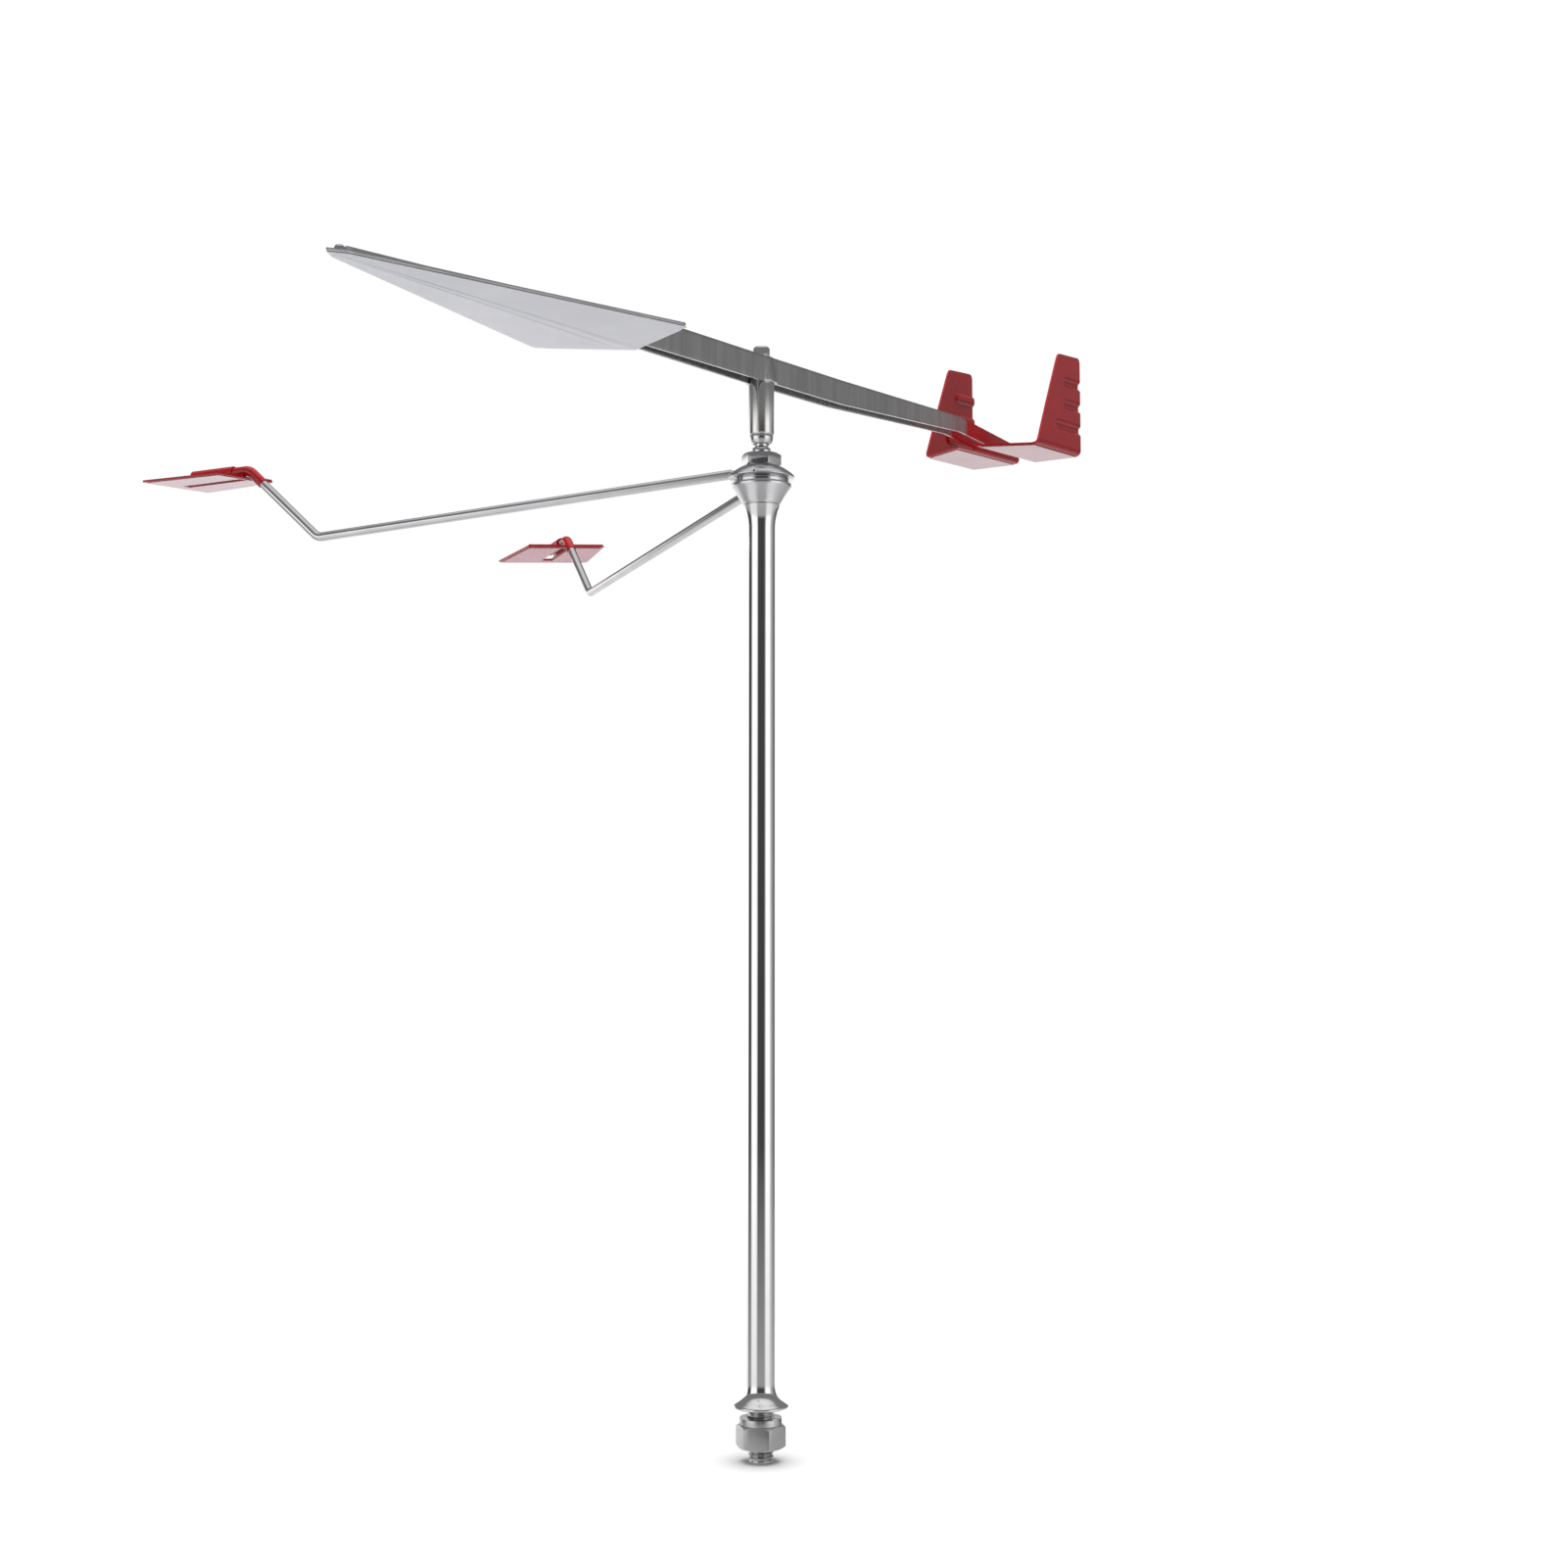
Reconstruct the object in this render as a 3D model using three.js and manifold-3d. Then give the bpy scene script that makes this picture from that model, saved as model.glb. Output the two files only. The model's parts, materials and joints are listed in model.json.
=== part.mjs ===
// Masthead wind indicator: a pivoting vane above two reference arms, on a polished pole with a threaded foot.
// Millimetres, +Z up. The origin is the centre of the foot flange's underside, on the pole's axis.
// At rest the vane's nose points along +X.
import * as THREE from 'three';
import { mergeVertices } from 'three/addons/utils/BufferGeometryUtils.js';
import Module from 'manifold-3d';

const wasm = await Module();
wasm.setup();

// Fits
const seatFit = 0.03;        // radial clearance of a piece pressed or screwed into another
const runFit = 0.07;         // radial clearance of a piece that turns
const layGap = 0.1;          // a film bonded to its plate
const restGap = 0.3;         // a piece that rests on another in the tilted vane, or on a moving one

// Pole and foot
const poleLength = 331.4;
const poleRadius = 5.2;
const flangeRadius = 10.3;
const seatRadius = 7.6;      // of the flange's flat underside; the rim outside it is relieved
const flangeThick = 1.9;
const footFlare = 8;         // height of the concave flare above the flange
const topFlare = 9;
const topRadius = 7.1;
const spigotRadius = 3;      // the stud's and the hub's spigots, in the pole's ends
const spigotDepth = 13;
const studRadius = 4.7;
const threadDepth = 0.65;
const threadPitch = 1.5;
const clampGap = 3;          // room for the masthead plate, between flange and washer
const washerRadius = 7.7;
const washerThick = 2.4;
const washerSplit = 0.8;
const footNutFlats = 16;
const footNutHeight = 8.4;
const studBelowNut = 4.8;
const nutTurn = -9;          // degrees, a corner of each nut

// Hub and arm eyes
const hubRadius = 11.3;
const hubHeight = 7.9;
const hubLip = 1;
const axleRadius = 4;        // M8
const axleDepth = 5.6;
const eyeRadius = 10.3;
const eyeThick = 2;
const dishRadius = 12.5;
const dishTopRadius = 7.4;
const dishThick = 4.3;
const eyeGap = 0.08;         // between hub, eyes and nut, along the axis
const seamWidth = 0.5;
const hubNutFlats = 13;
const hubNutHeight = 4.9;

// Arms
const rodRadius = 1.85;
const rodStart = 12.2;       // radius at which the round rod leaves the flattened neck
const neckThick = 2;
const armReach = 192.6;      // radius of the lower bend
const armDrop = 12.2;
const riserRun = 33;
const riserRise = 29.8;
const rodOver = 26.4;        // length of the rod beyond its upper bend
const bendRadius = 5;
const rodStep = 5;           // spacing of the rod's sections
const upperArmTurn = -79.5;  // degrees about Z, at rest
const lowerArmTurn = -124.4;
const upperRootRise = 0.4;   // rod above the eye's middle
const lowerRootRise = -2.3;
const upperDroop = 2;        // degrees, the rod's end slopes down outwards
const lowerDroop = 3;

// Tabs, measured outwards from the rod's upper bend
const tabInner = 1.6;
const tabOuter = 37;
const tabInnerHalf = 18.8;
const tabOuterHalf = 22.6;
const tabThick = 0.8;
const tabLip = 1.2;
const upperTabRoll = -5.5;   // degrees about the rod's end
const lowerTabRoll = -4;
const slotStart = 3.4;
const slotLength = 28;
const clipInset = 4;         // from the slot's ends
const clipWall = 0.45;
const clipFit = 0.12;        // sleeve in the clip
const sleeveWall = 0.25;
const sleeveDrop = 9;        // how far the sleeve reaches down the riser
const filmThick = 0.25;
const filmInset = 1.2;

// Vane spindle
const collarRadius = 3.5;
const collarHeight = 2.5;
const neckRadius = 2.55;
const neckLength = 2.2;
const pinRadius = 1.5;
const housingRadius = 4.76;
const housingNose = 3.85;    // lower end
const housingGap = 1.2;      // collar to housing
const noseHeight = 4.3;
const bushHeight = 3.6;
const bushBore = 3;
const capBore = 2.1;
const cupHeight = 2.8;
const capRadius = 3.12;
const capHeight = 3.9;
const beamHeight = 27.8;     // from the housing's lower end to the beam's centre

// Vane blade; x is towards the nose, z from the beam's centre
const bladeTilt = 2.58;      // degrees, tail up
const sheet = 0.9;
const stripInner = 3.2;      // half the gap between the two strips, at the housing
const stripTipInner = 0.25;  // and at their front ends
const noseReach = 234;
const wingReach = 97;
const wingHalf = 32;
const wingNotch = 82;
const wingSoft = 2.4;        // rounding of the outer corners
const wingRise = 2.5;        // degrees, each half of the arrowhead slopes up
const wingTwist = -1.7;      // degrees about the vane's length
const tipHalf = 3.4;
const tipLength = 5.5;
const bladeFloor = -6.9;     // underside of the arrowhead plate
const stripTopNose = 4.5;
const stripTopMid = 4.8;
const stripLowMid = -4.8;
const stripBreak = 193;      // where the strip's top edge flattens towards the nose
const stripBreakHeight = 2.9;
const stripEnd = 226.5;
const stripEndHeight = 1.3;
const taperReach = 54;
const neckReach = 158;       // where the strip is narrowest, ahead of the tail
const neckLow = 0.9;
const neckTop = 7.6;
const plateFront = 171.7;
const finFront = 186.9;
const tailReach = 234.3;
const tailHalf = 28;
const tailFloor = -2.6;      // underside of the plates, at their middle
const tailPitch = 1.5;       // degrees, the plates rise towards the rear
const finTopFront = 213;
const finTopRear = 237;
const finHeight = 45.4;
const webTail = 2.6;
const fluteLow = 11.6;       // middle of the lowest flute, pressed in from outside, above the plate
const flutePitch = 10.3;
const fluteCount = 3;
const fluteRadius = 2.2;
const fluteRise = 1.1;
const fluteLength = 16;
const rivetRadius = 1.5;
const rivetHeight = 1.9;
const rivetInset = 5.5;

// Stacked heights
const washerTop = -clampGap;
const nutTop = washerTop - washerThick;
const studEnd = nutTop - footNutHeight - studBelowNut;
const hubTop = poleLength + hubHeight;
const lowerEyeFloor = hubTop + eyeGap;
const upperEyeFloor = lowerEyeFloor + eyeThick + eyeGap;
const hubNutFloor = upperEyeFloor + dishThick + eyeGap;
const collarFloor = hubNutFloor + hubNutHeight;
const housingFloor = collarFloor + collarHeight + housingGap;
const beamZ = housingFloor + beamHeight;
const housingTop = beamZ + stripTopMid + 0.5;
const stripOuter = stripInner + sheet;
const wingTop = bladeFloor + sheet;
const deg = (a) => THREE.MathUtils.degToRad(a);
const stripFloor = wingTop + restGap + stripOuter * Math.tan(deg(wingRise + Math.abs(wingTwist)));

function solid(geometry) {
  const g = geometry.clone();
  g.deleteAttribute('normal');
  g.deleteAttribute('uv');
  const m = mergeVertices(g, 1e-4);
  const mesh = new wasm.Mesh({
    numProp: 3,
    vertProperties: new Float32Array(m.attributes.position.array),
    triVerts: new Uint32Array(m.index.array),
  });
  return new wasm.Manifold(mesh);
}

function geometryOf(manifold) {
  const mesh = manifold.getMesh();
  const g = new THREE.BufferGeometry();
  g.setAttribute('position', new THREE.BufferAttribute(new Float32Array(mesh.vertProperties), 3));
  g.setIndex(new THREE.BufferAttribute(new Uint32Array(mesh.triVerts), 1));
  g.computeVertexNormals();
  return g;
}

const join = (...all) => geometryOf(all.map(solid).reduce((a, b) => a.add(b)));
const cut = (body, ...tools) => geometryOf(tools.map(solid).reduce((a, b) => a.subtract(b), solid(body)));
const meet = (a, b) => geometryOf(solid(a).intersect(solid(b)));

// A turned piece: [radius, height] points from the bottom up the outside
function turned(points, segments = 36) {
  const profile = points.map(([r, z]) => new THREE.Vector2(r, z));
  return new THREE.LatheGeometry(profile, segments).rotateX(Math.PI / 2);
}

function ring(inner, outer, low, high, segments = 36) {
  return turned([[inner, low], [outer, low], [outer, high], [inner, high], [inner, low]], segments);
}

function outline(points) {
  return new THREE.Shape(points.map(([x, y]) => new THREE.Vector2(x, y)));
}

// Flat sheet lying in XY, from z up
function flat(points, z, thick) {
  return new THREE.ExtrudeGeometry(outline(points), { depth: thick, bevelEnabled: false }).translate(0, 0, z);
}

// Upright sheet seen from the side: [x, z] points, from y to y + thick
function upright(points, y, thick) {
  return new THREE.ExtrudeGeometry(outline(points), { depth: thick, bevelEnabled: false })
    .rotateX(Math.PI / 2).translate(0, y + thick, 0);
}

function box(x0, x1, y0, y1, z0, z1) {
  return new THREE.BoxGeometry(x1 - x0, y1 - y0, z1 - z0)
    .translate((x0 + x1) / 2, (y0 + y1) / 2, (z0 + z1) / 2);
}

function flare(fromRadius, toRadius, z0, z1, power, steps = 7) {
  return Array.from({ length: steps + 1 }, (_, i) => {
    const u = i / steps;
    return [toRadius + (fromRadius - toRadius) * (1 - u) ** power, z0 + (z1 - z0) * u];
  });
}

function poleShape() {
  const foot = flare(flangeRadius - 0.4, poleRadius, flangeThick, flangeThick + footFlare, 3.6);
  const top = flare(topRadius, poleRadius, 0, topFlare, 2, 5)
    .map(([r, z]) => [r, poleLength - z]).reverse();
  return turned([
    [0, spigotDepth], [spigotRadius, spigotDepth], [spigotRadius, 0], [(studRadius + seatRadius) / 2 + 0.6, 0],
    [seatRadius, 0], [flangeRadius - 0.7, 0.5], [flangeRadius - 0.1, 0.9], [flangeRadius, 1.2], [flangeRadius - 0.1, flangeThick - 0.4],
    ...foot, ...top,
    [spigotRadius, poleLength], [spigotRadius, poleLength - spigotDepth], [0, poleLength - spigotDepth],
  ], 36);
}

function studShape() {
  const points = [[0, studEnd], [studRadius - threadDepth, studEnd]];
  const turns = Math.floor((-studEnd - 0.6) / threadPitch);
  for (let i = 0; i < turns; i += 1) {
    const z = studEnd + 0.4 + i * threadPitch;
    points.push([studRadius - threadDepth, z], [studRadius, z + threadPitch / 2]);
  }
  points.push([studRadius - threadDepth, studEnd + 0.4 + turns * threadPitch], [studRadius - threadDepth, 0],
    [spigotRadius - seatFit, 0], [spigotRadius - seatFit, spigotDepth - 1], [0, spigotDepth - 1]);
  return turned(points, 24);
}

function lockWasherShape() {
  const middle = (studRadius + washerRadius) / 2;
  const split = new THREE.BoxGeometry(washerRadius, washerSplit, washerThick * 2).rotateX(deg(25))
    .translate(middle, 0, washerTop - washerThick / 2).rotateZ(deg(100));
  return cut(ring(studRadius + 0.2, washerRadius, nutTop, washerTop), split);
}

function nutShape(flats, height, bore, floor) {
  const corner = flats / Math.sqrt(3);
  const hex = new THREE.CylinderGeometry(corner, corner, height, 6).rotateX(Math.PI / 2)
    .rotateZ(deg(nutTurn + 30)).translate(0, 0, floor + height / 2);
  const face = flats / 2 - 0.15;
  const slope = (corner - face) * 0.58;
  const chamfered = turned([[0, floor], [face, floor], [corner + 0.02, floor + slope],
    [corner + 0.02, floor + height - slope], [face, floor + height], [0, floor + height]], 48);
  return cut(meet(hex, chamfered), turned([[0, floor - 1], [bore, floor - 1], [bore, floor + height + 1],
    [0, floor + height + 1]], 32));
}

function hubShape() {
  const z = poleLength;
  const bore = axleRadius + seatFit;
  return turned([
    [0, z - spigotDepth + 1], [spigotRadius - seatFit, z - spigotDepth + 1], [spigotRadius - seatFit, z],
    [topRadius, z], [hubRadius - 0.2, hubTop - hubLip - 0.5], [hubRadius, hubTop - hubLip], [hubRadius, hubTop - 0.2],
    [hubRadius - 0.2, hubTop], [bore, hubTop], [bore, hubTop - axleDepth], [0, hubTop - axleDepth],
  ], 36);
}

function axleShape() {
  const z = hubTop - axleDepth + 0.1;
  const pinTop = housingTop - cupHeight + 1.4;
  return turned([
    [0, z], [axleRadius - 0.4, z], [axleRadius, z + 0.4], [axleRadius, collarFloor], [collarRadius - 0.3, collarFloor],
    [collarRadius, collarFloor + 0.4], [collarRadius, collarFloor + collarHeight - 0.6],
    [neckRadius + 0.3, collarFloor + collarHeight], [neckRadius, collarFloor + collarHeight + 0.2],
    [neckRadius, collarFloor + collarHeight + neckLength], [pinRadius, collarFloor + collarHeight + neckLength + 0.3],
    [pinRadius, pinTop - 2], [0, pinTop],
  ]);
}

function housingShape() {
  const z = housingFloor;
  const bushTop = z + 1.9 + bushHeight;
  return turned([
    [bushBore, z], [housingNose, z], [housingRadius, z + noseHeight], [housingRadius, beamZ + stripLowMid - 0.8],
    [capRadius, housingTop], [capBore, housingTop], [capBore, bushTop], [bushBore, bushTop], [bushBore, z],
  ]);
}

function bushShape() {
  const z = housingFloor + 1.9;
  return ring(pinRadius + runFit, bushBore - seatFit, z, z + bushHeight - seatFit, 32);
}

function cupShape() {
  const top = housingTop - 0.05;
  return turned([[0, top - 0.9], [1.5, top - cupHeight], [capBore - seatFit, top - cupHeight],
    [capBore - seatFit, top], [0, top]], 32);
}

function capShape() {
  return turned([[0, housingTop], [capRadius, housingTop], [capRadius, housingTop + capHeight - 0.6],
    [capRadius - 0.6, housingTop + capHeight], [0, housingTop + capHeight]], 32);
}

// The rod's centre line: root, lower bend, riser, upper bend, and the level end under the clip
class RodLine extends THREE.CurvePath {
  constructor(points, radius) {
    super();
    let from = points[0];
    for (let i = 1; i < points.length - 1; i += 1) {
      const corner = points[i];
      const into = corner.clone().sub(points[i - 1]).normalize();
      const out = points[i + 1].clone().sub(corner).normalize();
      const trim = radius * Math.tan(into.angleTo(out) / 2);
      const a = corner.clone().addScaledVector(into, -trim);
      const b = corner.clone().addScaledVector(out, trim);
      this.add(new THREE.LineCurve3(from, a));
      this.add(new THREE.QuadraticBezierCurve3(a, corner, b));
      from = b;
    }
    this.add(new THREE.LineCurve3(from, points[points.length - 1]));
  }
}

function rodPoints(rootZ, droop) {
  const low = rootZ - armDrop;
  const top = low + riserRise;
  const tip = [armReach + riserRun + rodOver * Math.cos(deg(droop)), top - rodOver * Math.sin(deg(droop))];
  return [[rodStart, rootZ], [armReach, low], [armReach + riserRun, top], tip]
    .map(([x, z]) => new THREE.Vector3(x, 0, z));
}

function sweep(points, radius, step) {
  const line = new RodLine(points, bendRadius);
  const section = outline(Array.from({ length: 12 }, (_, i) =>
    [radius * Math.cos(i * Math.PI / 6), radius * Math.sin(i * Math.PI / 6)]));
  const steps = Math.ceil(line.getLength() / step);
  return new THREE.ExtrudeGeometry(section, { steps, extrudePath: line, bevelEnabled: false });
}

// The eye: its end is curled round the axle, so a seam is left opposite the rod
function armShape(eye, eyeMiddle, line) {
  const eyeTop = eyeMiddle + neckThick / 2;
  const neck = box(eyeRadius - 2, rodStart + 2, -rodRadius, rodRadius, eyeMiddle - neckThick / 2, eyeTop);
  const step = box(rodStart - 0.2, rodStart + 2, -rodRadius, rodRadius, line[0].z - rodRadius * 0.6, eyeTop);
  const seam = new THREE.BoxGeometry(5, seamWidth, 20).translate(-eyeRadius - 0.5, 0, eyeMiddle).rotateZ(deg(-75));
  const rod = sweep(line, rodRadius, rodStep);
  return cut(join(cut(eye, seam), neck, step, rod), axleHole(eyeMiddle));
}

function axleHole(z) {
  const r = axleRadius + runFit;
  return turned([[0, z - 9], [r, z - 9], [r, z + 9], [0, z + 9]]);
}

function dishShape() {
  const z = upperEyeFloor;
  return turned([[0, z], [dishRadius - 0.3, z], [dishRadius, z + 0.5], [dishTopRadius, z + dishThick],
    [0, z + dishThick]]);
}

function eyeShape() {
  const z = lowerEyeFloor;
  return turned([[0, z], [eyeRadius, z], [eyeRadius, z + eyeThick], [0, z + eyeThick]]);
}

// A tab is modelled about the rod's upper bend: x outwards along the rod's end, z from its centre
const tabTop = -(rodRadius + sleeveWall + clipFit);

function tabOutline(inset) {
  const inner = tabInnerHalf - inset;
  const outer = tabOuterHalf - inset;
  return [[tabInner + inset, -inner], [tabOuter - inset, -outer], [tabOuter - inset, outer],
    [tabInner + inset, inner]];
}

function tabShape() {
  const half = -tabTop;
  const reach = half + clipWall;
  const middle = slotStart + slotLength / 2;
  const body = flat(tabOutline(0), tabTop - tabThick, tabThick);
  const lip = (y0, y1) => box(tabInner, tabInner + tabThick, y0, y1, tabTop - 0.1, tabTop + tabLip);
  const lips = [lip(reach + 0.6, tabInnerHalf - 0.3), lip(0.3 - tabInnerHalf, -reach - 0.6)];
  const clipLength = slotLength - clipInset * 2;
  const bar = (r, length) => new THREE.CylinderGeometry(r, r, length, 24).rotateZ(Math.PI / 2)
    .translate(middle, 0, 0);
  const walls = box(middle - clipLength / 2, middle + clipLength / 2, -reach, reach, tabTop - tabThick, 0);
  const slot = box(slotStart, slotStart + slotLength, -half, half, tabTop - tabThick - 1, 0);
  return cut(join(body, ...lips, bar(reach, clipLength), walls), slot, bar(half, slotLength + 4));
}

function tabFilmShape() {
  const film = flat(tabOutline(filmInset), tabTop - tabThick - layGap - filmThick, filmThick);
  const slot = box(slotStart - 0.5, slotStart + slotLength + 0.5, tabTop - 0.5, 0.5 - tabTop,
    tabTop - 4, tabTop);
  return cut(film, slot);
}

// The sleeve covers the rod's end, from part way down the riser
function sleeveShape(line) {
  const down = line[1].clone().sub(line[2]).normalize();
  const along = line[3].clone().sub(line[2]).normalize();
  const tip = line[3].clone().addScaledVector(along, -1);
  const points = [line[2].clone().addScaledVector(down, sleeveDrop), line[2], tip];
  return cut(sweep(points, rodRadius + sleeveWall, 2.6), sweep(line, rodRadius + seatFit, rodStep));
}

function frontSide() {
  return [[stripEnd, stripFloor], [stripEnd, stripFloor + stripEndHeight],
    [stripBreak, stripFloor + stripBreakHeight], [wingNotch + 4, stripTopNose],
    [0, stripTopMid], [-1, stripTopMid], [-1, stripLowMid], [0, stripLowMid], [wingNotch, stripFloor]];
}

const plateMiddle = (plateFront + tailReach) / 2;

// Tips a tail piece about the middle of the plate
function pitched(geometry) {
  return geometry.translate(plateMiddle, 0, -tailFloor).rotateY(deg(tailPitch)).translate(-plateMiddle, 0, tailFloor);
}

function rearSide() {
  const floor = (x) => tailFloor + (x - plateMiddle) * Math.tan(deg(tailPitch));
  const rearTop = floor(tailReach) + sheet + webTail;
  return [[1, stripTopMid], [-taperReach, stripTopMid + 0.6], [-neckReach, neckTop],
    [-tailReach + 4, rearTop], [-tailReach + 0.6, rearTop - 2], [-tailReach + 0.6, floor(tailReach) + 0.1],
    [-plateFront - 0.6, floor(plateFront) + 0.1], [-neckReach, neckLow], [-taperReach, stripLowMid + 0.7], [1, stripLowMid]];
}

// Ahead of the housing the strips close in on each other. Each folds at its tail into a level plate
// and an upright, fluted fin.
function stripShape() {
  const closing = Math.atan((stripInner - stripTipInner) / stripEnd);
  const front = upright(frontSide(), 0, sheet).rotateZ(-closing).translate(0, stripInner, 0);
  const rear = upright(rearSide(), stripInner, sheet);
  const cone = (extra) => turned([[0, stripLowMid - 1], [housingRadius + extra, stripLowMid - 1],
    [capRadius + extra, stripTopMid + 1], [0, stripTopMid + 1]]);
  const half = box(-9, 9, stripInner, 9, stripLowMid, stripTopMid - 0.1);
  const bulge = meet(cone(restGap + sheet), half);
  const plate = flat([[-plateFront, stripInner], [-finFront, tailHalf], [-tailReach, tailHalf],
    [-tailReach, stripInner]], tailFloor, sheet);
  const finSide = [[-finFront, tailFloor], [-tailReach, tailFloor], [-finTopRear, tailFloor + finHeight - 2.5],
    [-finTopRear + 0.7, tailFloor + finHeight - 0.7], [-finTopRear + 2.5, tailFloor + finHeight],
    [-finTopFront, tailFloor + finHeight - 1.2]];
  const fin = upright(finSide, tailHalf - sheet, sheet);
  const slab = upright(finSide, tailHalf - 6, 6);
  const fluted = [];
  const hollows = [];
  for (let i = 0; i < fluteCount; i += 1) {
    const z = tailFloor + fluteLow + i * flutePitch;
    const bead = (r) => new THREE.CapsuleGeometry(r, fluteLength * 2, 3, 14).rotateZ(Math.PI / 2)
      .translate(-tailReach - 4, tailHalf - sheet - fluteRise + fluteRadius, z);
    fluted.push(meet(bead(fluteRadius), slab));
    hollows.push(pitched(bead(fluteRadius - sheet)));
  }
  const tail = pitched(join(plate, fin, ...fluted));
  return cut(join(front, rear, bulge, tail), cone(restGap), ...hollows);
}

function mirrored(geometry) {
  const g = geometryOf(solid(geometry)).scale(1, -1, 1);
  const index = g.index.array;
  for (let i = 0; i < index.length; i += 3) [index[i], index[i + 1]] = [index[i + 1], index[i]];
  g.computeVertexNormals();
  return g;
}

// Left half of the arrowhead, a little past its middle so that the two halves join
function wingHalfOutline(inset) {
  const half = wingHalf - inset;
  const tip = noseReach - inset;
  return [[tip, -0.2], [tip, 1], [tip - 1.2, tipHalf - 1.2], [noseReach - tipLength, tipHalf - inset],
    [wingReach + wingSoft, half - 0.4], [wingReach + wingSoft * 0.3, half - 0.2],
    [wingReach - 0.4 + inset * 0.5, half - wingSoft], [wingNotch + inset, 0], [wingNotch + inset, -0.2]];
}

function wingSheet(inset, z, thick) {
  const half = flat(wingHalfOutline(inset), 0, thick).rotateX(deg(wingRise));
  return join(half, mirrored(half)).rotateX(deg(wingTwist)).translate(0, 0, z);
}

function arrowheadShape() {
  const hole = turned([[0, -20], [rivetRadius / 2, -20], [rivetRadius / 2, 20], [0, 20]], 24)
    .translate(noseReach - rivetInset, 0, 0);
  return cut(wingSheet(0, bladeFloor, sheet), hole);
}

function wingFilmShape() {
  return wingSheet(filmInset / 2, bladeFloor - layGap - filmThick, filmThick);
}

function rivetShape() {
  const top = wingTop + layGap;
  return turned([[0, bladeFloor + 0.1], [rivetRadius / 2 - runFit, bladeFloor + 0.1],
    [rivetRadius / 2 - runFit, top], [rivetRadius, top], [rivetRadius, top + rivetHeight * 0.5],
    [rivetRadius * 0.6, top + rivetHeight], [0, top + rivetHeight]], 24).translate(noseReach - rivetInset, 0, 0);
}

function tailFilmShape() {
  const inset = filmInset;
  return pitched(flat([[-plateFront - inset, stripOuter + 0.4], [-finFront - inset, tailHalf - inset],
    [-tailReach + inset, tailHalf - inset], [-tailReach + inset, stripOuter + 0.4]],
  tailFloor - layGap - filmThick, filmThick));
}

const finish = (color, roughness, metalness) => new THREE.MeshStandardMaterial({ color, roughness, metalness });
const polished = () => finish(0xd8d9db, 0.12, 1);
const satin = () => finish(0xa9a8aa, 0.38, 1);
const redPaint = () => finish(0xa3122a, 0.35, 0);

function add(parent, name, geometry, material) {
  const mesh = new THREE.Mesh(geometry, material);
  mesh.name = name;
  parent.add(mesh);
  return mesh;
}

const indicator = new THREE.Group();
add(indicator, 'pole', poleShape(), polished());
add(indicator, 'mounting_stud', studShape(), satin());
add(indicator, 'lock_washer', lockWasherShape(), satin());
add(indicator, 'foot_nut', nutShape(footNutFlats, footNutHeight, studRadius + seatFit, nutTop - footNutHeight),
  satin());
add(indicator, 'hub', hubShape(), satin());
add(indicator, 'axle', axleShape(), polished());
add(indicator, 'hub_nut', nutShape(hubNutFlats, hubNutHeight, axleRadius + seatFit, hubNutFloor), polished());

const arms = [
  { side: 'upper', turn: upperArmTurn, eye: dishShape(), middle: upperEyeFloor + dishThick / 2,
    rise: upperRootRise, droop: upperDroop, roll: upperTabRoll },
  { side: 'lower', turn: lowerArmTurn, eye: eyeShape(), middle: lowerEyeFloor + eyeThick / 2,
    rise: lowerRootRise, droop: lowerDroop, roll: lowerTabRoll },
];
for (const { side, turn, eye, middle, rise, droop, roll } of arms) {
  const arm = new THREE.Group();
  arm.rotation.z = deg(turn);
  const line = rodPoints(middle + rise, droop);
  add(arm, `arm_${side}`, armShape(eye, middle, line), polished());
  add(arm, `sleeve_${side}`, sleeveShape(line), redPaint());
  const tab = new THREE.Group();
  tab.position.copy(line[2]);
  tab.rotation.set(deg(roll), deg(droop), 0, 'YXZ');
  add(tab, `tab_${side}`, tabShape(), redPaint());
  add(tab, `tab_film_${side}`, tabFilmShape(), finish(0xd9c4c8, 0.5, 0));
  arm.add(tab);
  indicator.add(arm);
}

add(indicator, 'spindle_housing', housingShape(), polished());
add(indicator, 'spindle_bush', bushShape(), finish(0xe8e6df, 0.5, 0));
add(indicator, 'jewel_cup', cupShape(), finish(0xb0304a, 0.2, 0));
add(indicator, 'spindle_cap', capShape(), polished());

const blade = new THREE.Group();
blade.position.z = beamZ;
blade.rotation.y = deg(bladeTilt);
const strip = stripShape();
const tailFilm = tailFilmShape();
add(blade, 'strip_left', strip, satin());
add(blade, 'strip_right', mirrored(strip), satin());
add(blade, 'tail_film_left', tailFilm, finish(0xc9aaae, 0.5, 0));
add(blade, 'tail_film_right', mirrored(tailFilm), finish(0xc9aaae, 0.5, 0));
add(blade, 'arrowhead', arrowheadShape(), satin());
add(blade, 'arrowhead_film', wingFilmShape(), finish(0xcfd1d6, 0.5, 0));
add(blade, 'nose_rivet', rivetShape(), satin());
indicator.add(blade);

export default indicator;
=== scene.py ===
import json
import math
import bpy
from mathutils import Matrix, Vector


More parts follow.
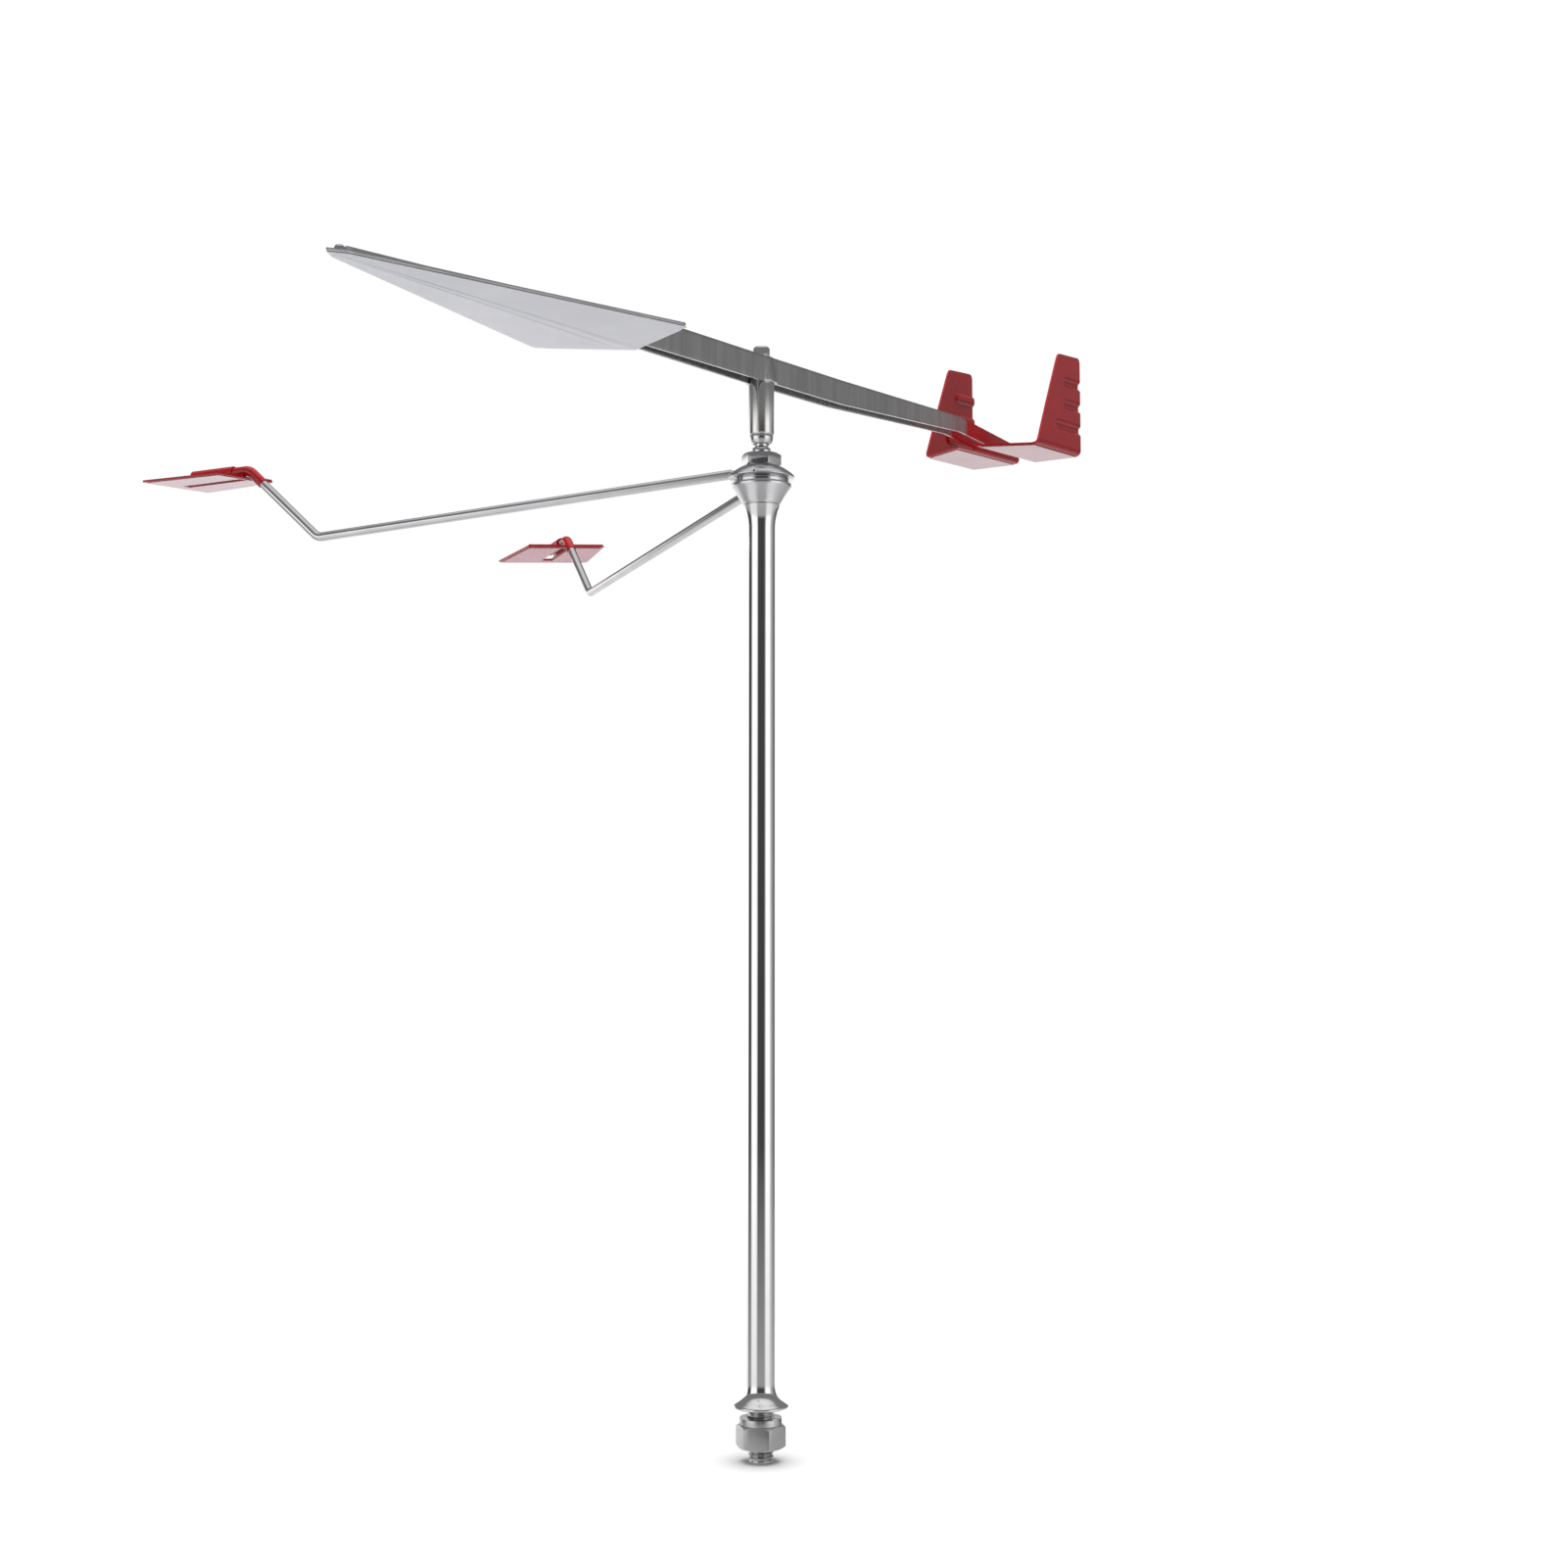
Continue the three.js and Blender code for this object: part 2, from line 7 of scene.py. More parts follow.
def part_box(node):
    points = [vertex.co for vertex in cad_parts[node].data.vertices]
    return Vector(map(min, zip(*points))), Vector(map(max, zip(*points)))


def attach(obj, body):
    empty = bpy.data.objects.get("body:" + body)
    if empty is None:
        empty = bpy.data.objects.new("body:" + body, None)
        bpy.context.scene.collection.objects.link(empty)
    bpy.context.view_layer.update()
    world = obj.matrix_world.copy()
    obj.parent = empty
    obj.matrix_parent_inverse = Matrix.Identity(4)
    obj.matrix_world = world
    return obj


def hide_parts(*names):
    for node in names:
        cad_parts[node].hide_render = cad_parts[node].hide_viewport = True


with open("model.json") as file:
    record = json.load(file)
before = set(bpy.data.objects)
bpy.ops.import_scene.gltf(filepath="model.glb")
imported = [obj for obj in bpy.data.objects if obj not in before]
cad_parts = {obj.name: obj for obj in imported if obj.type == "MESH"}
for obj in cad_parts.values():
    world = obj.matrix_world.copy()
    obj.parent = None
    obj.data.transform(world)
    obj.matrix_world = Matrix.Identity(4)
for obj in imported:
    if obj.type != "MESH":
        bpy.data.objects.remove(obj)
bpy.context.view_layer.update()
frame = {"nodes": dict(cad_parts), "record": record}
mm = 0.001
deg = math.radians
joints = {joint["name"]: joint for joint in frame["record"]["behaviour"]["joints"]}


def topOf(node):
    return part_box(node)[1].z / mm


def bottomOf(node):
    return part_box(node)[0].z / mm


def jointHeight(name):
    return joints[name]["pos_m"][2] / mm


# Camera and studio

cameraSet = {"place": (0.6805, 0.4220, 0.17305), "aim": (93.87, 0, 121.2), "lens": 49.79}

bpy.ops.object.camera_add(location=cameraSet["place"], rotation=[deg(a) for a in cameraSet["aim"]])
camera = bpy.context.object
camera.name = "studioCamera"
camera.data.lens = cameraSet["lens"]
camera.data.sensor_width = 36
camera.data.clip_start = 0.01
bpy.context.scene.camera = camera
bpy.context.scene.view_settings.view_transform = "Standard"
print("camera placed")

# White walls with dark gaps between them; angles are degrees from the open front, to the right
studioSet = {
    "front": 31.2,
    "walls": [(-180, 1.0), (-130, 1.0), (-116, 0.06), (-90, 0.05), (-76, 0.9), (-70, 1.0), (-42, 1.0),
              (-31, 0.6), (-24, 0.05), (23, 0.045), (33, 0.25), (42, 1.0), (70, 1.0), (84, 0.55),
              (100, 0.30), (116, 0.17), (134, 0.08), (150, 0.3), (162, 1.0), (180, 1.0)],
    "wallLight": 1.3,
    # height, light above or below the walls, share of wall seen
    "levels": [(-1, 0.55, 0.3), (-0.21, 0.5, 0.45), (-0.1, 0.5, 1), (0.19, 0.5, 1), (0.29, 0.15, 0),
               (0.74, 0.17, 0), (0.88, 0.6, 0), (1, 0.7, 0)],
    "lampHeight": 2.2,
    "lampSize": 2.4,
    "lampPower": 60,
    "floorSize": 0.28,
    "floorDrop": 0.0002,
    "gapTint": (1.0, 0.93, 0.92),
    "wallTint": (1, 0.995, 0.99),
}


def rampFrom(nodes, stops):
    ramp = nodes.new("ShaderNodeValToRGB")
    marks = ramp.color_ramp.elements
    while len(marks) > 1:
        marks.remove(marks[-1])
    for number, (place, colour) in enumerate(stops):
        mark = marks[0] if number == 0 else marks.new(place)
        mark.position = place
        mark.color = (*colour, 1)
    return ramp


def buildStudio(look):
    world = bpy.data.worlds.new("studioWorld")
    bpy.context.scene.world = world
    world.use_nodes = True
    nodes, link = world.node_tree.nodes, world.node_tree.links.new
    nodes.clear()
    way = nodes.new("ShaderNodeTexCoord")
    parts = nodes.new("ShaderNodeSeparateXYZ")
    link(way.outputs["Generated"], parts.inputs[0])
    angle = nodes.new("ShaderNodeMath")
    angle.operation = "ARCTAN2"
    link(parts.outputs["Y"], angle.inputs[0])
    link(parts.outputs["X"], angle.inputs[1])
    fromFront = nodes.new("ShaderNodeMath")
    fromFront.operation = "SUBTRACT"
    link(angle.outputs[0], fromFront.inputs[0])
    fromFront.inputs[1].default_value = deg(look["front"])
    wrapped = nodes.new("ShaderNodeMath")
    wrapped.operation = "WRAP"
    link(fromFront.outputs[0], wrapped.inputs[0])
    wrapped.inputs[1].default_value = math.pi
    wrapped.inputs[2].default_value = -math.pi
    share = nodes.new("ShaderNodeMapRange")
    link(wrapped.outputs[0], share.inputs["Value"])
    share.inputs["From Min"].default_value = -math.pi
    share.inputs["From Max"].default_value = math.pi
    wallStops = []
    for turn, light in look["walls"]:
        tint = look["gapTint"] if light < 0.1 else look["wallTint"]
        wallStops.append(((turn + 180) / 360, [light * part for part in tint]))
    walls = rampFrom(nodes, wallStops)
    link(share.outputs["Result"], walls.inputs["Fac"])
    tall = nodes.new("ShaderNodeMapRange")
    link(parts.outputs["Z"], tall.inputs["Value"])
    tall.inputs["From Min"].default_value = -1
    levels = rampFrom(nodes, [((z + 1) / 2, [glow] * 3) for z, glow, seen in look["levels"]])
    wallSeen = rampFrom(nodes, [((z + 1) / 2, [seen] * 3) for z, glow, seen in look["levels"]])
    for ramp in (levels, wallSeen):
        link(tall.outputs["Result"], ramp.inputs["Fac"])
    room = nodes.new("ShaderNodeMix")
    room.data_type = "RGBA"
    link(wallSeen.outputs["Color"], room.inputs["Factor"])
    link(levels.outputs["Color"], room.inputs["A"])
    link(walls.outputs["Color"], room.inputs["B"])
    light = nodes.new("ShaderNodeBackground")
    link(room.outputs["Result"], light.inputs["Color"])
    light.inputs["Strength"].default_value = look["wallLight"]
    plain = nodes.new("ShaderNodeBackground")
    plain.inputs["Color"].default_value = (1, 1, 1, 1)
    ray = nodes.new("ShaderNodeLightPath")
    choose = nodes.new("ShaderNodeMixShader")
    link(ray.outputs["Is Camera Ray"], choose.inputs["Fac"])
    link(light.outputs[0], choose.inputs[1])
    link(plain.outputs[0], choose.inputs[2])
    out = nodes.new("ShaderNodeOutputWorld")
    link(choose.outputs[0], out.inputs["Surface"])

    bpy.ops.object.light_add(type="AREA", location=(0, 0, look["lampHeight"]))
    lamp = bpy.context.object
    lamp.name = "softLamp"
    lamp.data.energy = look["lampPower"]
    lamp.data.shape = "DISK"
    lamp.data.size = look["lampSize"]
    lamp.visible_glossy = False
    lamp.visible_camera = False

    bpy.ops.mesh.primitive_circle_add(vertices=96, radius=look["floorSize"], fill_type="NGON",
                                      location=(0, 0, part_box("mounting_stud")[0].z - look["floorDrop"]))
    floor = bpy.context.object
    floor.name = "studioFloor"
    floor.visible_glossy = False
    paper = bpy.data.materials.new("floorPaper")
    paper.use_nodes = True
    tree = paper.node_tree
    shader = tree.nodes["Principled BSDF"]
    shader.inputs["Base Color"].default_value = (0.86, 0.86, 0.865, 1)
    shader.inputs["Roughness"].default_value = 0.9
    fine = tree.nodes.new("ShaderNodeTexNoise")
    fine.inputs["Scale"].default_value = 400
    bump = tree.nodes.new("ShaderNodeBump")
    bump.inputs["Strength"].default_value = 0.03
    tree.links.new(fine.outputs["Fac"], bump.inputs["Height"])
    tree.links.new(bump.outputs[0], shader.inputs["Normal"])
    floor.data.materials.append(paper)


buildStudio(studioSet)
print("studio built")


# Finishes

def srgb(red, green, blue):
    return tuple((c / 255 / 12.92) if c < 11 else ((c / 255 + 0.055) / 1.055) ** 2.4
                 for c in (red, green, blue)) + (1,)


def ranged(tree, value, low, high, fromLow=0.3, fromHigh=0.7):
    node = tree.nodes.new("ShaderNodeMapRange")
    tree.links.new(value, node.inputs["Value"])
    node.inputs["From Min"].default_value = fromLow
    node.inputs["From Max"].default_value = fromHigh
    node.inputs["To Min"].default_value = low
    node.inputs["To Max"].default_value = high
    return node.outputs["Result"]


def blended(tree, amount, first, second):
    node = tree.nodes.new("ShaderNodeMix")
    node.data_type = "RGBA"
    tree.links.new(amount, node.inputs["Factor"])
    for side, value in (("A", first), ("B", second)):
        if isinstance(value, tuple):
            node.inputs[side].default_value = value
        else:
            tree.links.new(value, node.inputs[side])
    return node.outputs["Result"]


def noise(tree, spread, detail=3, rough=0.5):
    place = tree.nodes.new("ShaderNodeTexCoord")
    stretch = tree.nodes.new("ShaderNodeMapping")
    stretch.inputs["Scale"].default_value = spread
    node = tree.nodes.new("ShaderNodeTexNoise")
    node.inputs["Scale"].default_value = 1
    node.inputs["Detail"].default_value = detail
    node.inputs["Roughness"].default_value = rough
    tree.links.new(place.outputs["Object"], stretch.inputs["Vector"])
    tree.links.new(stretch.outputs["Vector"], node.inputs["Vector"])
    return node.outputs["Fac"]


bumpDepth = 0.0001


def finish(name, look):
    material = bpy.data.materials.new(name)
    material.use_nodes = True
    tree = material.node_tree
    shader = tree.nodes["Principled BSDF"]
    shader.inputs["Metallic"].default_value = look.get("metal", 1)
    shader.inputs["Coat Weight"].default_value = look.get("coat", 0)
    shader.inputs["Coat Roughness"].default_value = look.get("coatRough", 0.1)
    grain = noise(tree, look["grain"], 2, 0.5)
    cloud = noise(tree, look.get("cloud", (60, 60, 60)), 3)
    tree.links.new(blended(tree, ranged(tree, cloud, 0, 1), look["colour"], look["shade"]),
                   shader.inputs["Base Color"])
    low, high = look["rough"]
    tree.links.new(ranged(tree, grain, low, high), shader.inputs["Roughness"])
    bump = tree.nodes.new("ShaderNodeBump")
    bump.inputs["Strength"].default_value = look["bump"]
    bump.inputs["Distance"].default_value = bumpDepth
    tree.links.new(grain, bump.inputs["Height"])
    tree.links.new(bump.outputs["Normal"], shader.inputs["Normal"])
    return material


finishes = {
    "polishedSteel": {"colour": (0.83, 0.83, 0.84, 1), "shade": (0.78, 0.78, 0.79, 1), "rough": (0.02, 0.05),
                      "grain": (700, 700, 40), "cloud": (30, 30, 90), "bump": 0.002},
    "rodSteel": {"colour": (0.68, 0.68, 0.69, 1), "shade": (0.58, 0.58, 0.60, 1), "rough": (0.10, 0.18),
                 "grain": (260, 260, 700), "bump": 0.003},
    "hubSteel": {"colour": (0.78, 0.78, 0.79, 1), "shade": (0.68, 0.68, 0.70, 1), "rough": (0.14, 0.26),
                 "grain": (90, 90, 2400), "bump": 0.006},
    "housingSteel": {"colour": (0.76, 0.755, 0.75, 1), "shade": (0.66, 0.655, 0.65, 1), "rough": (0.12, 0.22),
                     "grain": (500, 500, 120), "cloud": (90, 90, 60), "bump": 0.004},
    "nutSteel": {"colour": (0.72, 0.72, 0.73, 1), "shade": (0.62, 0.62, 0.64, 1), "rough": (0.08, 0.18),
                 "grain": (700, 700, 700), "bump": 0.005},
    "satinSteel": {"colour": (0.66, 0.655, 0.66, 1), "shade": (0.52, 0.515, 0.52, 1), "rough": (0.28, 0.42),
                   "grain": (1100, 1100, 1100), "bump": 0.008},
    "threadSteel": {"colour": (0.60, 0.60, 0.61, 1), "shade": (0.40, 0.40, 0.42, 1), "rough": (0.20, 0.38),
                    "grain": (1100, 1100, 1100), "bump": 0.008},
    "redPaint": {"metal": 0, "colour": srgb(172, 8, 24), "shade": srgb(160, 6, 20), "rough": (0.2, 0.28),
                 "grain": (700, 700, 700), "cloud": (90, 90, 90), "bump": 0.004, "coat": 0.22, "coatRough": 0.06},
    "upperTabFilm": {"metal": 0, "colour": srgb(212, 186, 193), "shade": srgb(204, 176, 184), "rough": (0.35, 0.5),
                     "grain": (3200, 3200, 3200), "cloud": (50, 50, 50), "bump": 0.002, "coat": 0.3, "coatRough": 0.2},
    # The lower tab's film is the same film as the upper tab's, painted darker and redder with painted shade and painted
    # red bounce light
    "lowerTabFilmShadeRedBounce": {"metal": 0, "colour": srgb(200, 146, 158), "shade": srgb(190, 132, 146), "rough": (0.35, 0.5),
                     "grain": (3200, 3200, 3200), "cloud": (50, 50, 50), "bump": 0.002, "coat": 0.3, "coatRough": 0.2},
    "tailFilm": {"metal": 0, "colour": srgb(196, 158, 164), "shade": srgb(186, 146, 154), "rough": (0.35, 0.5),
                 "grain": (3200, 3200, 3200), "cloud": (50, 50, 50), "bump": 0.002, "coat": 0.3, "coatRough": 0.2},
    "wingFilm": {"metal": 0, "colour": srgb(200, 201, 208), "shade": srgb(191, 192, 200), "rough": (0.32, 0.48),
                 "grain": (3000, 3000, 3000), "cloud": (40, 40, 40), "bump": 0.002, "coat": 0.3, "coatRough": 0.2},
    "bushPlastic": {"metal": 0, "colour": srgb(226, 223, 212), "shade": srgb(212, 208, 194), "rough": (0.4, 0.55),
                    "grain": (1500, 1500, 1500), "bump": 0.008},
    "jewelStone": {"metal": 0, "colour": srgb(176, 40, 70), "shade": srgb(140, 22, 52), "rough": (0.05, 0.12),
                   "grain": (1200, 1200, 1200), "bump": 0.003, "coat": 0.6, "coatRough": 0.05},
}
materials = {name: finish(name, look) for name, look in finishes.items()}

# The strips are brushed across, and painted red behind a line near the tail
stripLook = {"colour": (0.62, 0.615, 0.62, 1), "shade": (0.50, 0.495, 0.50, 1), "rough": (0.24, 0.40),
             "brush": (2600, 2600, 70), "bump": 0.012, "paintLine": -0.1642, "paintEdge": 0.0006}


def paintedSheet(name, look):
    material = finish(name, {"colour": look["colour"], "shade": look["shade"], "rough": look["rough"],
                             "grain": look["brush"], "cloud": (300, 300, 25), "bump": look["bump"]})
    tree = material.node_tree
    steel = tree.nodes["Principled BSDF"]
    paint = finishes["redPaint"]
    red = tree.nodes.new("ShaderNodeBsdfPrincipled")
    red.inputs["Coat Weight"].default_value = paint["coat"]
    red.inputs["Coat Roughness"].default_value = paint["coatRough"]
    cloud = noise(tree, paint["cloud"], 3)
    tree.links.new(blended(tree, ranged(tree, cloud, 0, 1), paint["colour"], paint["shade"]),
                   red.inputs["Base Color"])
    peel = noise(tree, paint["grain"], 3)
    tree.links.new(ranged(tree, peel, *paint["rough"]), red.inputs["Roughness"])
    bump = tree.nodes.new("ShaderNodeBump")
    bump.inputs["Strength"].default_value = paint["bump"]
    bump.inputs["Distance"].default_value = bumpDepth
    tree.links.new(peel, bump.inputs["Height"])
    tree.links.new(bump.outputs["Normal"], red.inputs["Normal"])
    place = tree.nodes.new("ShaderNodeTexCoord")
    parts = tree.nodes.new("ShaderNodeSeparateXYZ")
    tree.links.new(place.outputs["Object"], parts.inputs[0])
    line, edge = look["paintLine"], look["paintEdge"]
    mask = ranged(tree, parts.outputs["X"], 1, 0, line - edge, line + edge)
    mix = tree.nodes.new("ShaderNodeMixShader")
    tree.links.new(mask, mix.inputs["Fac"])
    tree.links.new(steel.outputs[0], mix.inputs[1])
    tree.links.new(red.outputs[0], mix.inputs[2])
    tree.links.new(mix.outputs[0], tree.nodes["Material Output"].inputs["Surface"])
    return material


materials["paintedStrip"] = paintedSheet("paintedStrip", stripLook)
print("finishes mixed")


# Shop tools

def pick(piece):
    bpy.ops.object.select_all(action="DESELECT")
    piece.select_set(True)
    bpy.context.view_layer.objects.active = piece


def applyModifiers(piece):
    pick(piece)
    for modifier in list(piece.modifiers):
        bpy.ops.object.modifier_apply(modifier=modifier.name)


def soften(piece, width, segments=2, limit=30):
    edges = piece.modifiers.new("softEdges", "BEVEL")
    edges.width = width * mm
    edges.segments = segments
    edges.limit_method = "ANGLE"
    edges.angle_limit = deg(limit)
    applyModifiers(piece)


def thicken(piece, thick, offset=0.0):
    wall = piece.modifiers.new("wall", "SOLIDIFY")
    wall.thickness = thick * mm
    wall.offset = offset
    wall.use_even_offset = True
    applyModifiers(piece)


def cutWith(piece, tool, operation="DIFFERENCE"):
    cut = piece.modifiers.new("cut", "BOOLEAN")
    cut.operation = operation
    cut.object = tool
    cut.solver = "EXACT"
    applyModifiers(piece)
    bpy.data.objects.remove(tool)


weld = 0.000001


def turned(name, profile, sides=96, ring=False):
    bpy.ops.object.select_all(action="DESELECT")
    radius, height = profile[0]
    bpy.ops.mesh.primitive_circle_add(vertices=sides, radius=radius * mm, location=(0, 0, height * mm),
                                      fill_type="NOTHING" if ring else "NGON")
    piece = bpy.context.object
    piece.name = name
    bpy.ops.object.transform_apply()
    bpy.ops.object.mode_set(mode="EDIT")
    bpy.ops.mesh.select_mode(type="VERT")
    bpy.ops.mesh.select_all(action="SELECT")
    for nextRadius, nextHeight in profile[1:]:
        bpy.ops.mesh.extrude_region_move(TRANSFORM_OT_translate={"value": (0, 0, (nextHeight - height) * mm)})
        grow = nextRadius / radius
        bpy.ops.transform.resize(value=(grow, grow, 1), center_override=(0, 0, nextHeight * mm))
        radius, height = nextRadius, nextHeight
    bpy.ops.mesh.select_all(action="SELECT")
    bpy.ops.mesh.remove_doubles(threshold=weld)
    bpy.ops.mesh.normals_make_consistent(inside=False)
    bpy.ops.object.mode_set(mode="OBJECT")
    return piece


def blank(name, columns, rows, at):
    bpy.ops.object.select_all(action="DESELECT")
    bpy.ops.mesh.primitive_grid_add(x_subdivisions=columns, y_subdivisions=rows, size=1)
    piece = bpy.context.object
    piece.name = name
    for vertex in piece.data.vertices:
        column = round((vertex.co.x + 0.5) * columns)
        row = round((vertex.co.y + 0.5) * rows)
        vertex.co = Vector(at(column, row)) * mm
    return piece


def tidyNormals(piece):
    pick(piece)
    bpy.ops.object.mode_set(mode="EDIT")
    bpy.ops.mesh.select_all(action="SELECT")
    bpy.ops.mesh.remove_doubles(threshold=weld)
    bpy.ops.mesh.normals_make_consistent(inside=False)
    bpy.ops.object.mode_set(mode="OBJECT")


def joined(name, *pieces):
    bpy.ops.object.select_all(action="DESELECT")
    for piece in pieces:
        piece.select_set(True)
    bpy.context.view_layer.objects.active = pieces[0]
    bpy.ops.object.join()
    pieces[0].name = name
    return pieces[0]


def put(piece, matrix):
    pick(piece)
    piece.matrix_world = matrix @ piece.matrix_world
    bpy.ops.object.transform_apply(location=True, rotation=True, scale=True)


def mirrorCopy(piece, name):
    pick(piece)
    bpy.ops.object.duplicate()
    other = bpy.context.object
    other.name = name
    put(other, Matrix.Scale(-1, 4, (0, 1, 0)))
    tidyNormals(other)
    return other


def dome(radius, rounding, top, count, start=0, squash=None):
    squash = rounding if squash is None else squash
    points = []
    for step in range(start, count + 1):
        angle = step / count * math.pi / 2
        points.append((radius - rounding * (1 - math.cos(angle)), top - squash * (1 - math.sin(angle))))
    return points


def settle(piece, node, body, finishName, smoothAngle=35):
    pick(piece)
    bpy.ops.object.shade_smooth_by_angle(angle=deg(smoothAngle))
    piece.name = node + "_look"
    piece.data.name = piece.name
    piece.data.materials.clear()
    piece.data.materials.append(materials[finishName])
    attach(piece, body)
    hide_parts(node)
    return piece


# Pole and foot

poleSet = {"radius": 5.2, "flange": 10.3, "seat": 7.6, "thick": 1.9, "footFlare": 8, "footCurve": 3.6, "topFlare": 9,
           "topRadius": 7.1, "socket": 3, "socketDepth": 13, "sides": 128}
poleTop = topOf("pole")


def buildPole(look):
    foot = []
    for step in range(13):
        share = step / 12
        foot.append((look["radius"] + (look["flange"] - 0.4 - look["radius"]) * (1 - share) ** look["footCurve"],
                     look["thick"] + look["footFlare"] * share))
    head = []
    for step in range(11):
        share = step / 10
        head.append((look["radius"] + (look["topRadius"] - look["radius"]) * share ** 2,
                     poleTop - look["topFlare"] * (1 - share)))
    profile = [(look["socket"], look["socketDepth"]), (look["socket"], 0), (look["seat"], 0),
               (look["flange"] - 0.7, 0.5), (look["flange"] - 0.15, 0.85), (look["flange"], 1.2),
               (look["flange"] - 0.1, 1.55)]
    profile += foot + head[:-1]
    profile += [(look["topRadius"] - 0.05, poleTop - 0.35), (look["topRadius"] - 0.35, poleTop),
                (look["socket"], poleTop), (look["socket"], poleTop - look["socketDepth"])]
    piece = turned("pole", profile, look["sides"])
    return settle(piece, "pole", "mast", "polishedSteel", 50)


buildPole(poleSet)

studSet = {"radius": 4.7, "core": 4.05, "pitch": 1.5, "crest": 0.125, "leadIn": 0.9, "runOut": 0.5, "gap": 0.02,
           "spigot": 2.95, "spigotTop": 12, "sides": 64, "steps": 150}


def buildStud(look):
    foot = bottomOf("mounting_stud")

    def at(column, row):
        angle = 2 * math.pi * column / look["sides"]
        height = foot + look["gap"] / 2 + (-look["gap"] - foot) * row / look["steps"]
        ramp = (height / look["pitch"] - column / look["sides"]) % 1
        ridge = 1 - abs(2 * ramp - 1)
        ridge = min(1, max(0, ridge * (1 + 2 * look["crest"]) - look["crest"]))  # flat crests and roots
        lead = min(1, (height - foot) / look["leadIn"], -height / look["runOut"])
        radius = look["core"] + (look["radius"] - look["core"]) * ridge * max(0, lead)
        return radius * math.cos(angle), radius * math.sin(angle), height

    piece = blank("stud", look["sides"], look["steps"], at)
    tidyNormals(piece)
    pick(piece)
    bpy.ops.object.mode_set(mode="EDIT")
    bpy.ops.mesh.select_all(action="DESELECT")
    bpy.ops.mesh.select_non_manifold()
    bpy.ops.mesh.fill_holes(sides=0)
    bpy.ops.object.mode_set(mode="OBJECT")
    tidyNormals(piece)
    spigot = turned("spigot", [(look["spigot"], -look["gap"]), (look["spigot"], look["spigotTop"] - 0.4),
                               (look["spigot"] - 0.4, look["spigotTop"])], 48)
    piece = joined("stud", piece, spigot)
    return settle(piece, "mounting_stud", "mast", "threadSteel", 30)


buildStud(studSet)

washerSet = {"inner": 4.9, "outer": 7.7, "split": 0.8, "splitTurn": 100, "splitLean": 25}


def buildWasher(look):
    low, high = bottomOf("lock_washer"), topOf("lock_washer")
    piece = turned("washer", [(look["inner"], low), (look["outer"], low), (look["outer"], high), (look["inner"], high),
                              (look["inner"], low)], 96, ring=True)
    bpy.ops.object.select_all(action="DESELECT")
    bpy.ops.mesh.primitive_cube_add(size=1)
    gap = bpy.context.object
    middle = (look["inner"] + look["outer"]) / 2
    gap.matrix_world = (Matrix.Rotation(deg(look["splitTurn"]), 4, "Z")
                        @ Matrix.Translation((middle * mm, 0, (low + high) / 2 * mm))
                        @ Matrix.Rotation(deg(look["splitLean"]), 4, "X")
                        @ Matrix.Diagonal((look["outer"] * mm, look["split"] * mm, 6 * mm, 1)))
    cutWith(piece, gap)
    soften(piece, 0.32, 3)
    return settle(piece, "lock_washer", "mast", "satinSteel")


buildWasher(washerSet)


def buildNut(name, look):
    low, high = bottomOf(name), topOf(name)
    corner = look["flats"] / math.sqrt(3)
    bpy.ops.object.select_all(action="DESELECT")
    bpy.ops.mesh.primitive_cylinder_add(vertices=6, radius=corner * mm, depth=(high - low) * mm,
                                        location=(0, 0, (low + high) / 2 * mm), rotation=(0, 0, deg(look["turn"])))
    piece = bpy.context.object
    bpy.ops.object.transform_apply()
    face = look["flats"] / 2 - look["crown"]
    slope = (corner - face) * look["chamferSlope"]
    cone = turned("cone", [(face, low), (corner + 0.05, low + slope), (corner + 0.05, high - slope), (face, high)], 96)
    cutWith(piece, cone, "INTERSECT")
    bore, chamfer, past = look["bore"], look["chamfer"], 0.7
    tap = turned("tap", [(bore + chamfer + past, low - past), (bore, low + chamfer), (bore, high - chamfer),
                         (bore + chamfer + past, high + past)], 64)
    cutWith(piece, tap)
    soften(piece, look["soft"], 2, 25)
    return settle(piece, name, "mast", look["finish"], 25)


footNutSet = {"flats": 16, "turn": -39, "bore": 4.73, "soft": 0.42, "finish": "satinSteel",
              "chamfer": 0.5, "chamferSlope": 0.58, "crown": 0.15}
hubNutSet = {"flats": 13, "turn": -39, "bore": 4.03, "soft": 0.18, "finish": "nutSteel",
             "chamfer": 0.5, "chamferSlope": 0.58, "crown": 0.15}
buildNut("foot_nut", footNutSet)
buildNut("hub_nut", hubNutSet)
print("foot turned")

# Hub, axle and the vane's spindle

hubSet = {"radius": 11.3, "lip": 1, "foot": 7.1, "hollow": 0.22, "socket": 4.03, "socketDepth": 5.6, "spigot": 2.97,
          "spigotDepth": 12}


def buildHub(look):
    low, high = poleTop, topOf("hub")
    profile = [(look["spigot"], low - look["spigotDepth"]), (look["spigot"], low), (look["foot"] - 0.3, low),
               (look["foot"], low + 0.3)]
    slant = high - look["lip"] - 0.45
    for step in range(1, 9):  # slightly hollow flank
        share = step / 8
        bow = look["hollow"] * math.sin(math.pi * share)
        profile.append((look["foot"] + (look["radius"] - 0.2 - look["foot"]) * share - bow,
                        low + 0.3 + (slant - low - 0.3) * share))
    profile += [(look["radius"], slant + 0.3), (look["radius"], high - 0.3), (look["radius"] - 0.12, high - 0.08),
                (look["radius"] - 0.35, high), (look["socket"], high), (look["socket"], high - look["socketDepth"])]
    piece = turned("hub", profile, 128)
    return settle(piece, "hub", "mast", "hubSteel", 40)


buildHub(hubSet)

axleSet = {"radius": 4, "collar": 3.5, "collarHeight": 2.5, "neck": 2.55, "neckLength": 2.2, "pin": 1.5}


